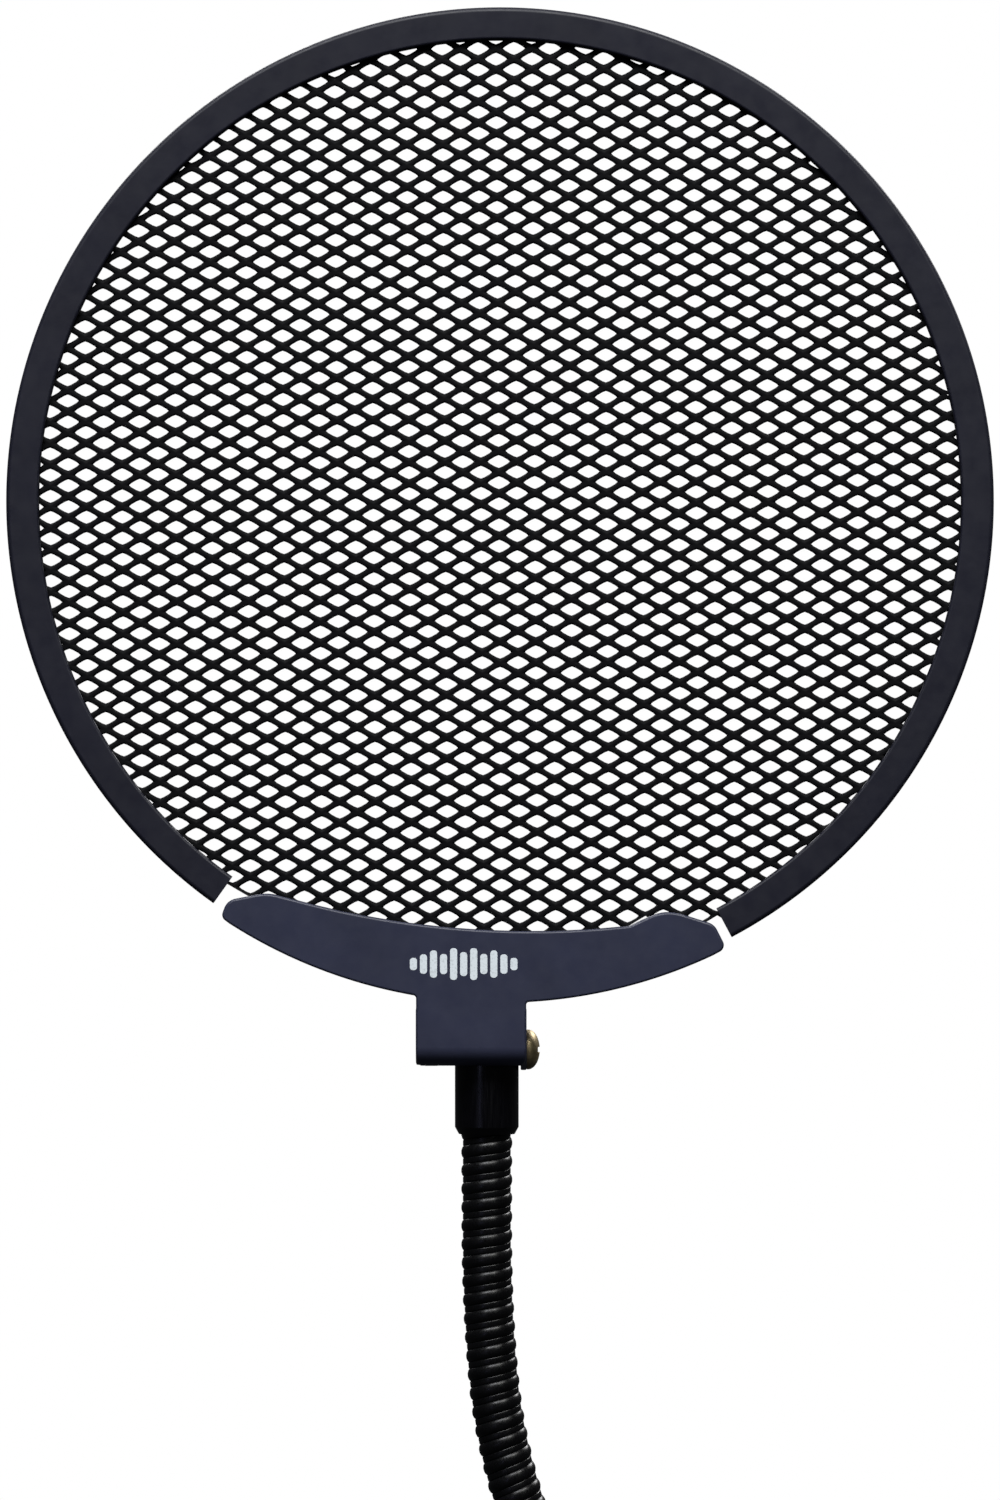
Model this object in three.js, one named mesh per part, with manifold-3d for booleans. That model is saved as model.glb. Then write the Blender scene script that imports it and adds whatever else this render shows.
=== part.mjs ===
// Pop filter: an expanded-metal screen in an open rim, held by a two-plate clip that tilts on the
// end of a gooseneck, and a C-clamp that grips a microphone stand.
//
// Millimetres, +Z up. The front of the screen faces -Y. The origin is the middle of the clamp's
// grip, on the axis of the vertical stand tube that it holds.

import * as THREE from 'three';
import { mergeVertices } from 'three/addons/utils/BufferGeometryUtils.js';
import Module from 'manifold-3d';

const wasm = await Module();
wasm.setup();

// ---------------------------------------------------------------- driving dimensions

const CLEARANCE = 0.3; // gap left between neighbouring pieces
const OVERLAP = 0.3; // how far solids of one piece run into each other before they are joined
const THROUGH = 60; // reach of a cut that goes right through a piece

// Screen and rim. The screen's plane is y = 0 in the head's own frame, its centre the origin.
const RIM_RADIUS = 76.2; // a six inch rim
const RIM_FACE = 5.0; // width of the rim seen from the front
const RIM_DEPTH = 3.2;
const RIM_WALL = 0.8;
const RIM_BEVEL = 0.7;
const SCREEN_RADIUS = 74.8;
const SCREEN_THICKNESS = 0.9;
const MESH_PITCH = { x: 5.56, z: 3.27 }; // one diamond of the real mesh, long way and short way
const MESH_COARSENING = 4; // the solid has one large diamond in place of 4 x 4 real ones
const MESH_OPENING = 0.686; // hole size over diamond size, which leaves 47% of the area open

// Clip: a crescent of sheet steel on each side of the screen's lower edge.
const HEAD_ROLL = 3.75; // degrees that the screen and crescent sit round from the saddle
const RIM_GAP_HALF = 31.75; // degrees, half of the rim's opening at the clip
const CLIP_HALF = 29.3;
const CLIP_OUTER_RADIUS = 77.4;
const CLIP_INNER_RADIUS = 140; // the crescent's upper edge is flatter than the screen
const CLIP_INNER_EDGE = 66.2; // from the screen's centre to the middle of that edge
const CLIP_INNER_TURN = 10;
const CLIP_ENDS = {
  left: [
    { radius: 77.3, angle: 30.6, cut: 1.2 },
    { radius: 74.4, angle: 30.9, cut: 1.4 },
    { radius: 70.3, angle: 27.0, cut: 3.0 },
  ],
  right: [
    { radius: 77.3, angle: 30.6, cut: 1.2 },
    { radius: 73.4, angle: 30.6, cut: 1.4 },
    { radius: 68.4, angle: 26.1, cut: 3.0 },
  ],
};
const SOLID_MARGIN = 4; // the solid's holes stop this far above the crescent's upper edge
const SHEET = 1.0; // clip plate thickness
const CLIP_SCREW_RADIUS = 71.6; // where the three clip screws sit
const CLIP_SCREW_ANGLES = { left: -21, centre: 0, right: 21 };
const CLIP_SCREW = { shank: 1.1, head: 2.4, headHeight: 1.4 };
const CLIP_BOSS = { radius: 2.0, bore: 1.4, wall: 0.6 };

// Saddle: the tab under the crescent, with an ear folded back from each side.
const SADDLE = { left: -13.0, right: 4.1, bottom: -87.0, curl: 3.0 };
const SADDLE_ROOT = 4; // the tab starts this far inside the crescent's outer edge
const EAR = { thickness: 0.9, top: -78.2, lobeStart: 65, corner: 1.4 };
const EAR_LOBES = { left: 2.4, right: 3.2 };
const PIVOT = { x: -2.05, y: 6.9, z: -84.9 }; // tilt axis, along X
const PIVOT_SCREW = { shank: 1.5, head: 3.15, headHeight: 1.95 };
const PIVOT_NUT = { from: -11.8, to: -9.5, acrossFlats: 5.0 };
const SPRING_WASHER = { from: -9.2, to: -8.4, radius: 2.4, cut: 0.5, cutTurn: 25 };
const PLAIN_WASHER = { from: -8.1, to: -7.3, radius: 2.4 };

// Gooseneck and its two ferrules
const NECK_RADIUS = 4.0;
const NECK_SOCKET = 6.0; // length held inside each ferrule
const NECK_JOINTS = 8; // places where the solid neck is hinged to stand for its flexing
const NECK_ROUTE = [
  // length and turn of each arc, from the clamp towards the head; 300 mm flexes
  { length: 8, turn: 0 },
  { length: 185, turn: 44 },
  { length: 54, turn: 31 },
  { length: 16, turn: 10 },
  { length: 22, turn: 5 },
  { length: 15, turn: 0 },
];
const NECK_STEP = 9; // longest straight stretch of a solid section
const KNUCKLE = { tip: 1.0, radius: 3.9, halfGap: 0.35, length: 1.4, collar: 1.0 };
const FERRULE = { radius: 4.95, lip: 4.65, chamfer: 1.0 };
const UPPER_FERRULE_MOUTH = -98.0; // height in the head's frame
const LOWER_FERRULE_MOUTH = -40.7;
const LOWER_FERRULE_FACE = -22.8; // towards the clamp
const LOWER_FERRULE_HEX = { acrossFlats: 11, length: 4.7 };

// Clamp. The screw and the neck's end both lie on the X axis.
const BAR = { thickness: 4.0, halfWidth: 9.0, corner: 6.0 };
const FIXED_ARM_FACE = -17.3; // inner faces of the two arms and of the web
const SCREW_ARM_FACE = 34.0;
const WEB_FACE = 20.0;
const ARM_END = -11.0;
const BEND = { outer: 6.5, inner: 2.5 };
const JAW_PAD = { back: -17.0, land: -11.3, apex: -13.5, grooveHalf: 6, halfWidth: 9 };
const JAW_PAD_HALF_HEIGHT = 8;
const SCREW_RADIUS = 4.0;
const SCREW_HOLE_RADIUS = 4.4;
const FOOT_PAD = { face: 12.7, thickness: 2.0, radius: 8.5 };
const FOOT = { front: 15.0, rim: 17.5, back: 20.4, radius: 9.0, boss: 5.6, chamfer: 0.8 };
const BALL = { centre: 18.2, radius: 2.5, neck: 1.9 };
const SCREW_END = { shoulder: 21.0, chamfer: 0.8, end: 79.0 };
const WELD_NUT = { from: 38.3, to: 44.8, acrossFlats: 13 };
const KNOB = { collar: 65.2, body: 68.5, end: 82.0, collarRadius: 8.5, radius: 13.5 };
const KNOB_LOBES = { count: 6, depth: 1.6, stepsEach: 8 };
const KNOB_BORE_END = 79.3;
const KNOB_CAP = { seat: 80.5, radius: 6.0, bevelRadius: 5.0, bevel: 0.6, dome: 0.8 };
const FIXING_SCREW = { shank: 2.4, head: 4.9, headDepth: 2.6, tip: -33.0, fit: 0.4 };
const LOCK_WASHER = { from: -22.5, to: -21.6, radius: 5.4 };

// ---------------------------------------------------------------- materials

function paint(name, color, roughness, metalness) {
  return new THREE.MeshStandardMaterial({ name, color, roughness, metalness });
}

const MATERIALS = {
  rim: paint('rim_enamel', 0x292a33, 0.55, 0.1),
  clip: paint('clip_enamel', 0x343747, 0.5, 0.1),
  mesh: paint('mesh_enamel', 0x0c0c0f, 0.5, 0.2),
  gloss: paint('gloss_black', 0x08080a, 0.18, 0.3),
  brass: paint('dull_brass', 0x6b5a38, 0.42, 0.9),
  zinc: paint('zinc_plate', 0x9a9ca0, 0.35, 0.9),
  bar: paint('bar_enamel', 0x131316, 0.4, 0.2),
  rubber: paint('rubber', 0x1a1a1c, 0.85, 0),
  plastic: paint('knob_plastic', 0x16161a, 0.5, 0),
};

// ---------------------------------------------------------------- geometry helpers

const { degToRad } = THREE.MathUtils;
const AXIS_X = new THREE.Vector3(1, 0, 0);
const AXIS_Y = new THREE.Vector3(0, 1, 0);
const AXIS_Z = new THREE.Vector3(0, 0, 1);

// A drawing in (y, z) extruded along +X, and a drawing in (x, z) extruded along -Y.
const DRAWN_YZ = new THREE.Matrix4().makeBasis(AXIS_Y, AXIS_Z, AXIS_X);
const DRAWN_XZ = new THREE.Matrix4().makeBasis(AXIS_X, AXIS_Z, AXIS_Y.clone().negate());

function toSolid(geometry) {
  const bare = geometry.index ? geometry.toNonIndexed() : geometry.clone();
  bare.deleteAttribute('normal');
  bare.deleteAttribute('uv');
  const merged = mergeVertices(bare, 1e-4);
  const index = merged.index.array;
  const kept = [];
  for (let i = 0; i < index.length; i += 3) {
    const [a, b, c] = [index[i], index[i + 1], index[i + 2]];
    if (a !== b && b !== c && c !== a) kept.push(a, b, c);
  }
  return new wasm.Manifold(
    new wasm.Mesh({
      numProp: 3,
      vertProperties: new Float32Array(merged.attributes.position.array),
      triVerts: new Uint32Array(kept),
    }),
  );
}

function toGeometry(manifold) {
  const mesh = manifold.getMesh();
  const geometry = new THREE.BufferGeometry();
  geometry.setAttribute('position', new THREE.BufferAttribute(mesh.vertProperties, 3));
  geometry.setIndex(new THREE.BufferAttribute(mesh.triVerts, 1));
  geometry.computeVertexNormals();
  return geometry;
}

function shapeOf(points) {
  return new THREE.Shape(points.map(([x, y]) => new THREE.Vector2(x, y)));
}

function extrude(shape, depth, curveSegments = 12) {
  return new THREE.ExtrudeGeometry(shape, { depth, bevelEnabled: false, curveSegments });
}

// A plate drawn in (x, z) between two depths along Y.
function plateY(shape, front, back, curveSegments) {
  return extrude(shape, back - front, curveSegments).applyMatrix4(DRAWN_XZ).translate(0, back, 0);
}

// A plate drawn in (y, z) between two places along X.
function plateX(shape, left, right, curveSegments) {
  return extrude(shape, right - left, curveSegments).applyMatrix4(DRAWN_YZ).translate(left, 0, 0);
}

// A turned piece: its profile lists [radius, place along the axis].
function turned(profile, segments = 24) {
  return new THREE.LatheGeometry(profile.map(([r, at]) => new THREE.Vector2(r, at)), segments);
}

function turnedX(profile, segments) {
  return turned(profile, segments).rotateZ(-Math.PI / 2);
}

function turnedZ(profile, segments) {
  return turned(profile, segments).rotateX(Math.PI / 2);
}

function rod(radius, from, to) {
  return [[0, from], [radius, from], [radius, to], [0, to]];
}

function ring(inner, outer, from, to) {
  return [[inner, from], [outer, from], [outer, to], [inner, to], [inner, from]];
}

function hexShape(acrossFlats, x = 0, y = 0) {
  const corner = acrossFlats / 2 / Math.cos(Math.PI / 6);
  return shapeOf(
    Array.from({ length: 6 }, (_, i) => {
      const angle = (i * Math.PI) / 3;
      return [x + corner * Math.cos(angle), y + corner * Math.sin(angle)];
    }),
  );
}

// A point at a radius from the screen's centre, at an angle from straight down towards +X.
function belowCentre(radius, angle) {
  const a = degToRad(angle);
  return [radius * Math.sin(a), -radius * Math.cos(a)];
}

function named(name, geometry, material) {
  const mesh = new THREE.Mesh(geometry, material);
  mesh.name = name;
  return mesh;
}

// ---------------------------------------------------------------- head

const CLIP_SCREW_PLACES = Object.fromEntries(
  Object.entries(CLIP_SCREW_ANGLES).map(([side, angle]) => [
    side,
    belowCentre(CLIP_SCREW_RADIUS, angle - HEAD_ROLL),
  ]),
);

const HALF_SCREEN = SCREEN_THICKNESS / 2;
const PLATE_INNER = HALF_SCREEN + CLEARANCE;
const PLATE_OUTER = PLATE_INNER + SHEET;
const PIVOT_BORE = PIVOT_SCREW.shank + CLEARANCE;

function diamondHole(x, z, halfWidth, halfHeight) {
  const hole = new THREE.Path();
  hole.moveTo(x + halfWidth, z);
  hole.lineTo(x, z + halfHeight);
  hole.lineTo(x - halfWidth, z);
  hole.lineTo(x, z - halfHeight);
  hole.closePath();
  return hole;
}

function screenMesh() {
  const pitchX = MESH_PITCH.x * MESH_COARSENING;
  const pitchZ = MESH_PITCH.z * MESH_COARSENING;
  const halfWidth = (pitchX / 2) * MESH_OPENING;
  const halfHeight = (pitchZ / 2) * MESH_OPENING;
  const reach = RIM_RADIUS - RIM_FACE;
  const shape = new THREE.Shape().absarc(0, 0, SCREEN_RADIUS, 0, 2 * Math.PI);
  const clipEdge = SOLID_MARGIN - CLIP_INNER_EDGE;
  const rows = Math.ceil((2 * reach) / pitchZ);
  for (let row = -rows; row <= rows; row += 1) {
    const z = (row * pitchZ) / 2;
    const offset = row % 2 ? pitchX / 2 : 0;
    for (let column = -rows; column <= rows; column += 1) {
      const x = column * pitchX + offset;
      const clearOfRim = Math.hypot(Math.abs(x) + halfWidth, z) < reach;
      const clearOfClip = z - halfHeight > clipEdge;
      if (clearOfRim && clearOfClip) shape.holes.push(diamondHole(x, z, halfWidth, halfHeight));
    }
  }
  for (const [x, z] of Object.values(CLIP_SCREW_PLACES)) {
    shape.holes.push(hexShape(2 * (CLIP_BOSS.radius + CLEARANCE), x, z));
  }
  return plateY(shape, -HALF_SCREEN, HALF_SCREEN, 24);
}

function rimTrim() {
  const half = RIM_DEPTH / 2;
  const inner = RIM_RADIUS - RIM_FACE;
  const edge = RIM_RADIUS - RIM_BEVEL;
  const profile = [
    [inner, -half],
    [edge, -half],
    [RIM_RADIUS, -half + RIM_BEVEL],
    [RIM_RADIUS, half - RIM_BEVEL],
    [edge, half],
    [inner, half],
    [inner, half - RIM_WALL],
    [RIM_RADIUS - RIM_WALL, half - RIM_WALL],
    [RIM_RADIUS - RIM_WALL, -half + RIM_WALL],
    [inner, -half + RIM_WALL],
    [inner, -half],
  ];
  const beyond = RIM_RADIUS * 1.4;
  const wedge = shapeOf([
    [0, 0],
    belowCentre(beyond, -HEAD_ROLL - RIM_GAP_HALF),
    belowCentre(beyond, -HEAD_ROLL + RIM_GAP_HALF),
  ]);
  const channel = toSolid(turned(profile, 72));
  return toGeometry(channel.subtract(toSolid(plateY(wedge, -RIM_DEPTH, RIM_DEPTH))));
}

function stepTowards([x, z], [toX, toZ], distance) {
  const share = distance / Math.hypot(toX - x, toZ - z);
  return [x + (toX - x) * share, z + (toZ - z) * share];
}

// Each corner of one end as the points before, at and after its rounding.
function roundedEnd(end, innerStart) {
  const corners = end.map(({ radius, angle }) => belowCentre(radius, angle));
  const path = [belowCentre(CLIP_OUTER_RADIUS, CLIP_HALF), ...corners, innerStart];
  return corners.map((corner, index) => {
    const before = stepTowards(corner, path[index], end[index].cut);
    const after = stepTowards(corner, path[index + 2], end[index].cut);
    return [before, corner, after];
  });
}

function crescentShape() {
  const mirror = ([x, z]) => [-x, z];
  const innerTurn = degToRad(CLIP_INNER_TURN);
  const innerCentre = CLIP_INNER_RADIUS - CLIP_INNER_EDGE;
  const innerStart = [
    CLIP_INNER_RADIUS * Math.sin(innerTurn),
    innerCentre - CLIP_INNER_RADIUS * Math.cos(innerTurn),
  ];
  const outerEnd = degToRad(CLIP_HALF);
  const down = -Math.PI / 2;
  const shape = new THREE.Shape();
  shape.absarc(0, 0, CLIP_OUTER_RADIUS, down - outerEnd, down + outerEnd, false);
  for (const [before, corner, after] of roundedEnd(CLIP_ENDS.right, innerStart)) {
    shape.lineTo(...before);
    shape.quadraticCurveTo(...corner, ...after);
  }
  shape.absarc(0, innerCentre, CLIP_INNER_RADIUS, down + innerTurn, down - innerTurn, true);
  for (const [before, corner, after] of roundedEnd(CLIP_ENDS.left, innerStart).reverse()) {
    shape.lineTo(...mirror(after));
    shape.quadraticCurveTo(...mirror(corner), ...mirror(before));
  }
  return shape;
}

function crescentPlate(front, back) {
  return toSolid(plateY(crescentShape(), front, back, 10).rotateY(degToRad(HEAD_ROLL)));
}

// A round bar along Y at one of the clip screws.
function clipBar([x, z], radius, front, back) {
  return toSolid(turned(rod(radius, front, back), 12).translate(x, 0, z));
}

function saddleProfile() {
  const { bottom, curl } = SADDLE;
  const top = -CLIP_OUTER_RADIUS + SADDLE_ROOT;
  const centreY = -PLATE_OUTER + curl;
  const centreZ = bottom + curl;
  const shape = new THREE.Shape();
  shape.moveTo(-PLATE_INNER, top);
  shape.lineTo(-PLATE_OUTER, top);
  shape.absarc(centreY, centreZ, curl, Math.PI, 1.5 * Math.PI, false);
  shape.absarc(centreY, centreZ, curl - SHEET, 1.5 * Math.PI, Math.PI, true);
  return shape;
}

function earProfile(lobe) {
  const front = -PLATE_INNER - OVERLAP;
  const shape = new THREE.Shape();
  shape.moveTo(front, EAR.top);
  shape.absarc(PIVOT.y, PIVOT.z, lobe, degToRad(EAR.lobeStart), -Math.PI / 2, true);
  shape.lineTo(-PLATE_OUTER + SADDLE.curl, SADDLE.bottom + OVERLAP);
  shape.lineTo(-PLATE_OUTER + SHEET, SADDLE.bottom + EAR.corner);
  shape.lineTo(front, SADDLE.bottom + SADDLE.curl);
  return shape;
}

function clipFrontPlate() {
  let plate = crescentPlate(-PLATE_OUTER, -PLATE_INNER);
  plate = plate.add(toSolid(plateX(saddleProfile(), SADDLE.left, SADDLE.right, 6)));
  const { left, right } = SADDLE;
  const leftEar = plateX(earProfile(EAR_LOBES.left), left, left + EAR.thickness, 10);
  const rightEar = plateX(earProfile(EAR_LOBES.right), right - EAR.thickness, right, 10);
  plate = plate.add(toSolid(leftEar)).add(toSolid(rightEar));
  for (const place of Object.values(CLIP_SCREW_PLACES)) {
    plate = plate.add(clipBar(place, CLIP_BOSS.radius, -PLATE_INNER - OVERLAP, HALF_SCREEN));
    plate = plate.subtract(clipBar(place, CLIP_BOSS.bore, -PLATE_OUTER + CLIP_BOSS.wall, THROUGH));
  }
  return toGeometry(plate.subtract(pivotHole()));
}

function clipBackPlate() {
  let plate = crescentPlate(PLATE_INNER, PLATE_OUTER);
  for (const place of Object.values(CLIP_SCREW_PLACES)) {
    plate = plate.subtract(clipBar(place, CLIP_BOSS.bore, -THROUGH, THROUGH));
  }
  return toGeometry(plate);
}

// A screw's profile, from its tip to the top of its domed pan head.
function panHeadScrew({ shank, head, headHeight }, tip, seat) {
  return [
    [0, tip],
    [shank, tip],
    [shank, seat],
    [head, seat],
    [head, seat + headHeight * 0.4],
    [head * 0.86, seat + headHeight * 0.72],
    [head * 0.5, seat + headHeight * 0.95],
    [0, seat + headHeight],
  ];
}

// The clip screws run along Y, with their heads behind the back plate.
function clipScrew() {
  return turned(panHeadScrew(CLIP_SCREW, -HALF_SCREEN, PLATE_OUTER + CLEARANCE), 12);
}

function pivotHole() {
  const hole = turnedX(rod(PIVOT_BORE, -THROUGH, THROUGH), 20);
  return toSolid(hole.translate(0, PIVOT.y, PIVOT.z));
}

function pivotScrew() {
  return turnedX(panHeadScrew(PIVOT_SCREW, SADDLE.left, SADDLE.right + CLEARANCE), 20);
}

function pivotNut() {
  const { from, to, acrossFlats } = PIVOT_NUT;
  const nut = toSolid(plateX(hexShape(acrossFlats), from, to));
  return toGeometry(nut.subtract(toSolid(turnedX(rod(PIVOT_BORE, -THROUGH, THROUGH), 16))));
}

// A spring washer is a ring with one slanting cut.
function pivotSpringWasher() {
  const { from, to, radius, cut, cutTurn } = SPRING_WASHER;
  const washer = toSolid(turnedX(ring(PIVOT_BORE, radius, from, to), 20));
  const slot = new THREE.BoxGeometry(4 * (to - from), cut, 2 * (radius - PIVOT_BORE));
  slot.rotateZ(degToRad(cutTurn)).translate((from + to) / 2, 0, radius);
  return toGeometry(washer.subtract(toSolid(slot)));
}

function pivotPlainWasher() {
  const { from, to, radius } = PLAIN_WASHER;
  return turnedX(ring(PIVOT_BORE, radius, from, to), 20);
}

function buildHead() {
  const head = new THREE.Group();
  head.add(named('screen_mesh', screenMesh(), MATERIALS.mesh));
  head.add(named('rim_trim', rimTrim(), MATERIALS.rim));
  head.add(named('clip_front_plate', clipFrontPlate(), MATERIALS.clip));
  head.add(named('clip_back_plate', clipBackPlate(), MATERIALS.clip));
  for (const [side, [x, z]] of Object.entries(CLIP_SCREW_PLACES)) {
    const screw = named(`clip_screw_${side}`, clipScrew(), MATERIALS.zinc);
    screw.position.set(x, 0, z);
    head.add(screw);
  }
  const pivot = new THREE.Group();
  pivot.position.set(0, PIVOT.y, PIVOT.z);
  pivot.add(named('pivot_screw', pivotScrew(), MATERIALS.brass));
  pivot.add(named('pivot_nut', pivotNut(), MATERIALS.zinc));
  pivot.add(named('pivot_spring_washer', pivotSpringWasher(), MATERIALS.zinc));
  pivot.add(named('pivot_plain_washer', pivotPlainWasher(), MATERIALS.zinc));
  head.add(pivot);
  return head;
}

// ---------------------------------------------------------------- gooseneck

// The neck's centreline in the plane y = 0: arcs that meet with one tangent, straight inside the
// ferrules. A heading of 0 degrees points along -X and one of 90 degrees straight up.
class NeckLine extends THREE.Curve {
  constructor(from, to) {
    super();
    this.from = from;
    this.to = to;
  }

  static arcs = [{ length: NECK_SOCKET, turn: 0 }, ...NECK_ROUTE, { length: NECK_SOCKET, turn: 0 }];

  static at(distance) {
    const place = new THREE.Vector3(LOWER_FERRULE_MOUTH + NECK_SOCKET, 0, 0);
    let heading = 0;
    let left = distance;
    for (const { length, turn } of NeckLine.arcs) {
      const run = Math.min(left, length);
      const next = heading + degToRad(turn) * (run / length);
      const middle = (heading + next) / 2;
      const half = (next - heading) / 2;
      const chord = half ? (run * Math.sin(half)) / half : run;
      place.x -= chord * Math.cos(middle);
      place.z += chord * Math.sin(middle);
      heading = next;
      left -= run;
      if (left <= 0) break;
    }
    return { place, heading };
  }

  getPoint(t) {
    return NeckLine.at(this.from + (this.to - this.from) * t).place;
  }
}

const NECK_LENGTH = NECK_ROUTE.reduce((sum, arc) => sum + arc.length, 0);

function neckPivot(joint) {
  return NECK_SOCKET + (NECK_LENGTH * (joint - 0.5)) / NECK_JOINTS;
}

// The cone that lets one section of the neck swing on the next.
function knuckle(distance, away) {
  const { tip, radius, halfGap, length, collar } = KNUCKLE;
  const base = halfGap + length;
  const end = base + collar;
  const profile = [[0, halfGap], [tip, halfGap], [radius, base], [radius, end], [0, end]];
  const cone = turned(profile, 10);
  const { place, heading } = NeckLine.at(distance);
  const forward = new THREE.Vector3(-Math.cos(heading), 0, Math.sin(heading)).multiplyScalar(away);
  cone.applyQuaternion(new THREE.Quaternion().setFromUnitVectors(AXIS_Y, forward));
  return toSolid(cone.translate(place.x, place.y, place.z));
}

function neckSection(number) {
  const first = number === 1;
  const last = number === NECK_JOINTS + 1;
  const inset = KNUCKLE.halfGap + KNUCKLE.length - OVERLAP / 3;
  const from = first ? 0 : neckPivot(number - 1) + inset;
  const to = last ? NECK_LENGTH + 2 * NECK_SOCKET : neckPivot(number) - inset;
  const section = new THREE.Shape().absarc(0, 0, NECK_RADIUS, 0, 2 * Math.PI);
  const tube = new THREE.ExtrudeGeometry(section, {
    extrudePath: new NeckLine(from, to),
    steps: Math.ceil((to - from) / NECK_STEP),
    curveSegments: 5,
    bevelEnabled: false,
  });
  let solid = toSolid(tube);
  if (!first) solid = solid.add(knuckle(neckPivot(number - 1), 1));
  if (!last) solid = solid.add(knuckle(neckPivot(number), -1));
  return toGeometry(solid);
}

// Fully turned end of the neck: a ball end drilled across for the pivot screw, and a socket below.
function upperFerrule() {
  const { radius, lip, chamfer } = FERRULE;
  const top = PIVOT.z;
  const mouth = UPPER_FERRULE_MOUTH;
  const bore = NECK_RADIUS + CLEARANCE;
  const socketEnd = mouth + NECK_SOCKET + CLEARANCE;
  const profile = [
    [0, socketEnd],
    [bore, socketEnd],
    [bore, mouth],
    [lip, mouth],
    [radius, mouth + chamfer],
  ];
  const domeSteps = 5;
  for (let i = 0; i <= domeSteps; i += 1) {
    const angle = (i / domeSteps) * (Math.PI / 2);
    profile.push([i === domeSteps ? 0 : radius * Math.cos(angle), top + radius * Math.sin(angle)]);
  }
  const body = toSolid(turnedZ(profile, 24).translate(PIVOT.x, PIVOT.y, 0));
  return toGeometry(body.subtract(pivotHole()));
}

function lowerFerrule() {
  const { radius, lip, chamfer } = FERRULE;
  const mouth = LOWER_FERRULE_MOUTH;
  const bore = NECK_RADIUS + CLEARANCE;
  const socketEnd = mouth + NECK_SOCKET + CLEARANCE;
  const face = LOWER_FERRULE_FACE;
  const profile = [
    [0, socketEnd],
    [bore, socketEnd],
    [bore, mouth],
    [lip, mouth],
    [radius, mouth + chamfer],
    [radius, face],
    [0, face],
  ];
  const { acrossFlats, length } = LOWER_FERRULE_HEX;
  const nut = toSolid(plateX(hexShape(acrossFlats), face - length, face));
  const tapped = rod(FIXING_SCREW.shank + CLEARANCE, FIXING_SCREW.tip - CLEARANCE, 0);
  const body = toSolid(turnedX(profile, 24)).add(nut);
  return toGeometry(body.subtract(toSolid(turnedX(tapped, 16))));
}

function buildNeck() {
  const neck = new THREE.Group();
  neck.add(named('lower_ferrule', lowerFerrule(), MATERIALS.gloss));
  for (let number = 1; number <= NECK_JOINTS + 1; number += 1) {
    neck.add(named(`neck_section_${number}`, neckSection(number), MATERIALS.gloss));
  }
  return neck;
}

// ---------------------------------------------------------------- clamp

function barOutline() {
  const { thickness } = BAR;
  const { outer, inner } = BEND;
  const left = FIXED_ARM_FACE;
  const right = SCREW_ARM_FACE;
  const back = WEB_FACE;
  const quarter = Math.PI / 2;
  const shape = new THREE.Shape();
  shape.moveTo(left - thickness, ARM_END);
  shape.lineTo(left, ARM_END);
  shape.absarc(left + inner, back - inner, inner, Math.PI, quarter, true);
  shape.absarc(right - inner, back - inner, inner, quarter, 0, true);
  shape.lineTo(right, ARM_END);
  shape.lineTo(right + thickness, ARM_END);
  shape.absarc(right + thickness - outer, back + thickness - outer, outer, 0, quarter, false);
  shape.absarc(left - thickness + outer, back + thickness - outer, outer, quarter, Math.PI, false);
  return shape;
}

function clampFrame() {
  const { thickness, halfWidth, corner } = BAR;
  const bar = toSolid(extrude(barOutline(), 2 * halfWidth, 6).translate(0, 0, -halfWidth));
  const envelope = new THREE.Shape();
  envelope.moveTo(THROUGH, -halfWidth);
  envelope.lineTo(THROUGH, halfWidth);
  envelope.absarc(ARM_END + corner, halfWidth - corner, corner, Math.PI / 2, Math.PI, false);
  envelope.absarc(ARM_END + corner, -halfWidth + corner, corner, Math.PI, 1.5 * Math.PI, false);
  const rounded = bar.intersect(toSolid(plateX(envelope, -THROUGH, THROUGH, 5)));
  const screwHole = rod(SCREW_HOLE_RADIUS, SCREW_ARM_FACE - 1, SCREW_ARM_FACE + thickness + 1);
  const { shank, head, headDepth, fit } = FIXING_SCREW;
  const face = FIXED_ARM_FACE;
  const hole = shank + fit;
  const mouth = head + fit;
  const countersink = [
    [0, face - thickness - 1],
    [hole, face - thickness - 1],
    [hole, face - headDepth],
    [mouth, face],
    [mouth, face + 1],
    [0, face + 1],
  ];
  return toGeometry(
    rounded.subtract(toSolid(turnedX(screwHole, 20))).subtract(toSolid(turnedX(countersink, 20))),
  );
}

function clampWeldNut() {
  const { from, to, acrossFlats } = WELD_NUT;
  const nut = toSolid(plateX(hexShape(acrossFlats), from, to));
  return toGeometry(nut.subtract(toSolid(turnedX(rod(SCREW_HOLE_RADIUS, from - 1, to + 1), 20))));
}

// A rubber pad with a shallow V along Z that centres a tube.
function fixedJawPad() {
  const { back, land, apex, grooveHalf, halfWidth } = JAW_PAD;
  const halfHeight = JAW_PAD_HALF_HEIGHT;
  const shape = shapeOf([
    [back, -halfWidth],
    [land, -halfWidth],
    [land, -grooveHalf],
    [apex, 0],
    [land, grooveHalf],
    [land, halfWidth],
    [back, halfWidth],
  ]);
  return extrude(shape, 2 * halfHeight).translate(0, 0, -halfHeight);
}

function neckFixingScrew() {
  const { shank, head, headDepth, tip } = FIXING_SCREW;
  const top = FIXED_ARM_FACE - CLEARANCE;
  return turnedX([[0, tip], [shank, tip], [shank, top - headDepth], [head, top], [0, top]], 20);
}

function neckLockWasher() {
  const { from, to, radius } = LOCK_WASHER;
  return turnedX(ring(FIXING_SCREW.shank + CLEARANCE, radius, from, to), 20);
}

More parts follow.
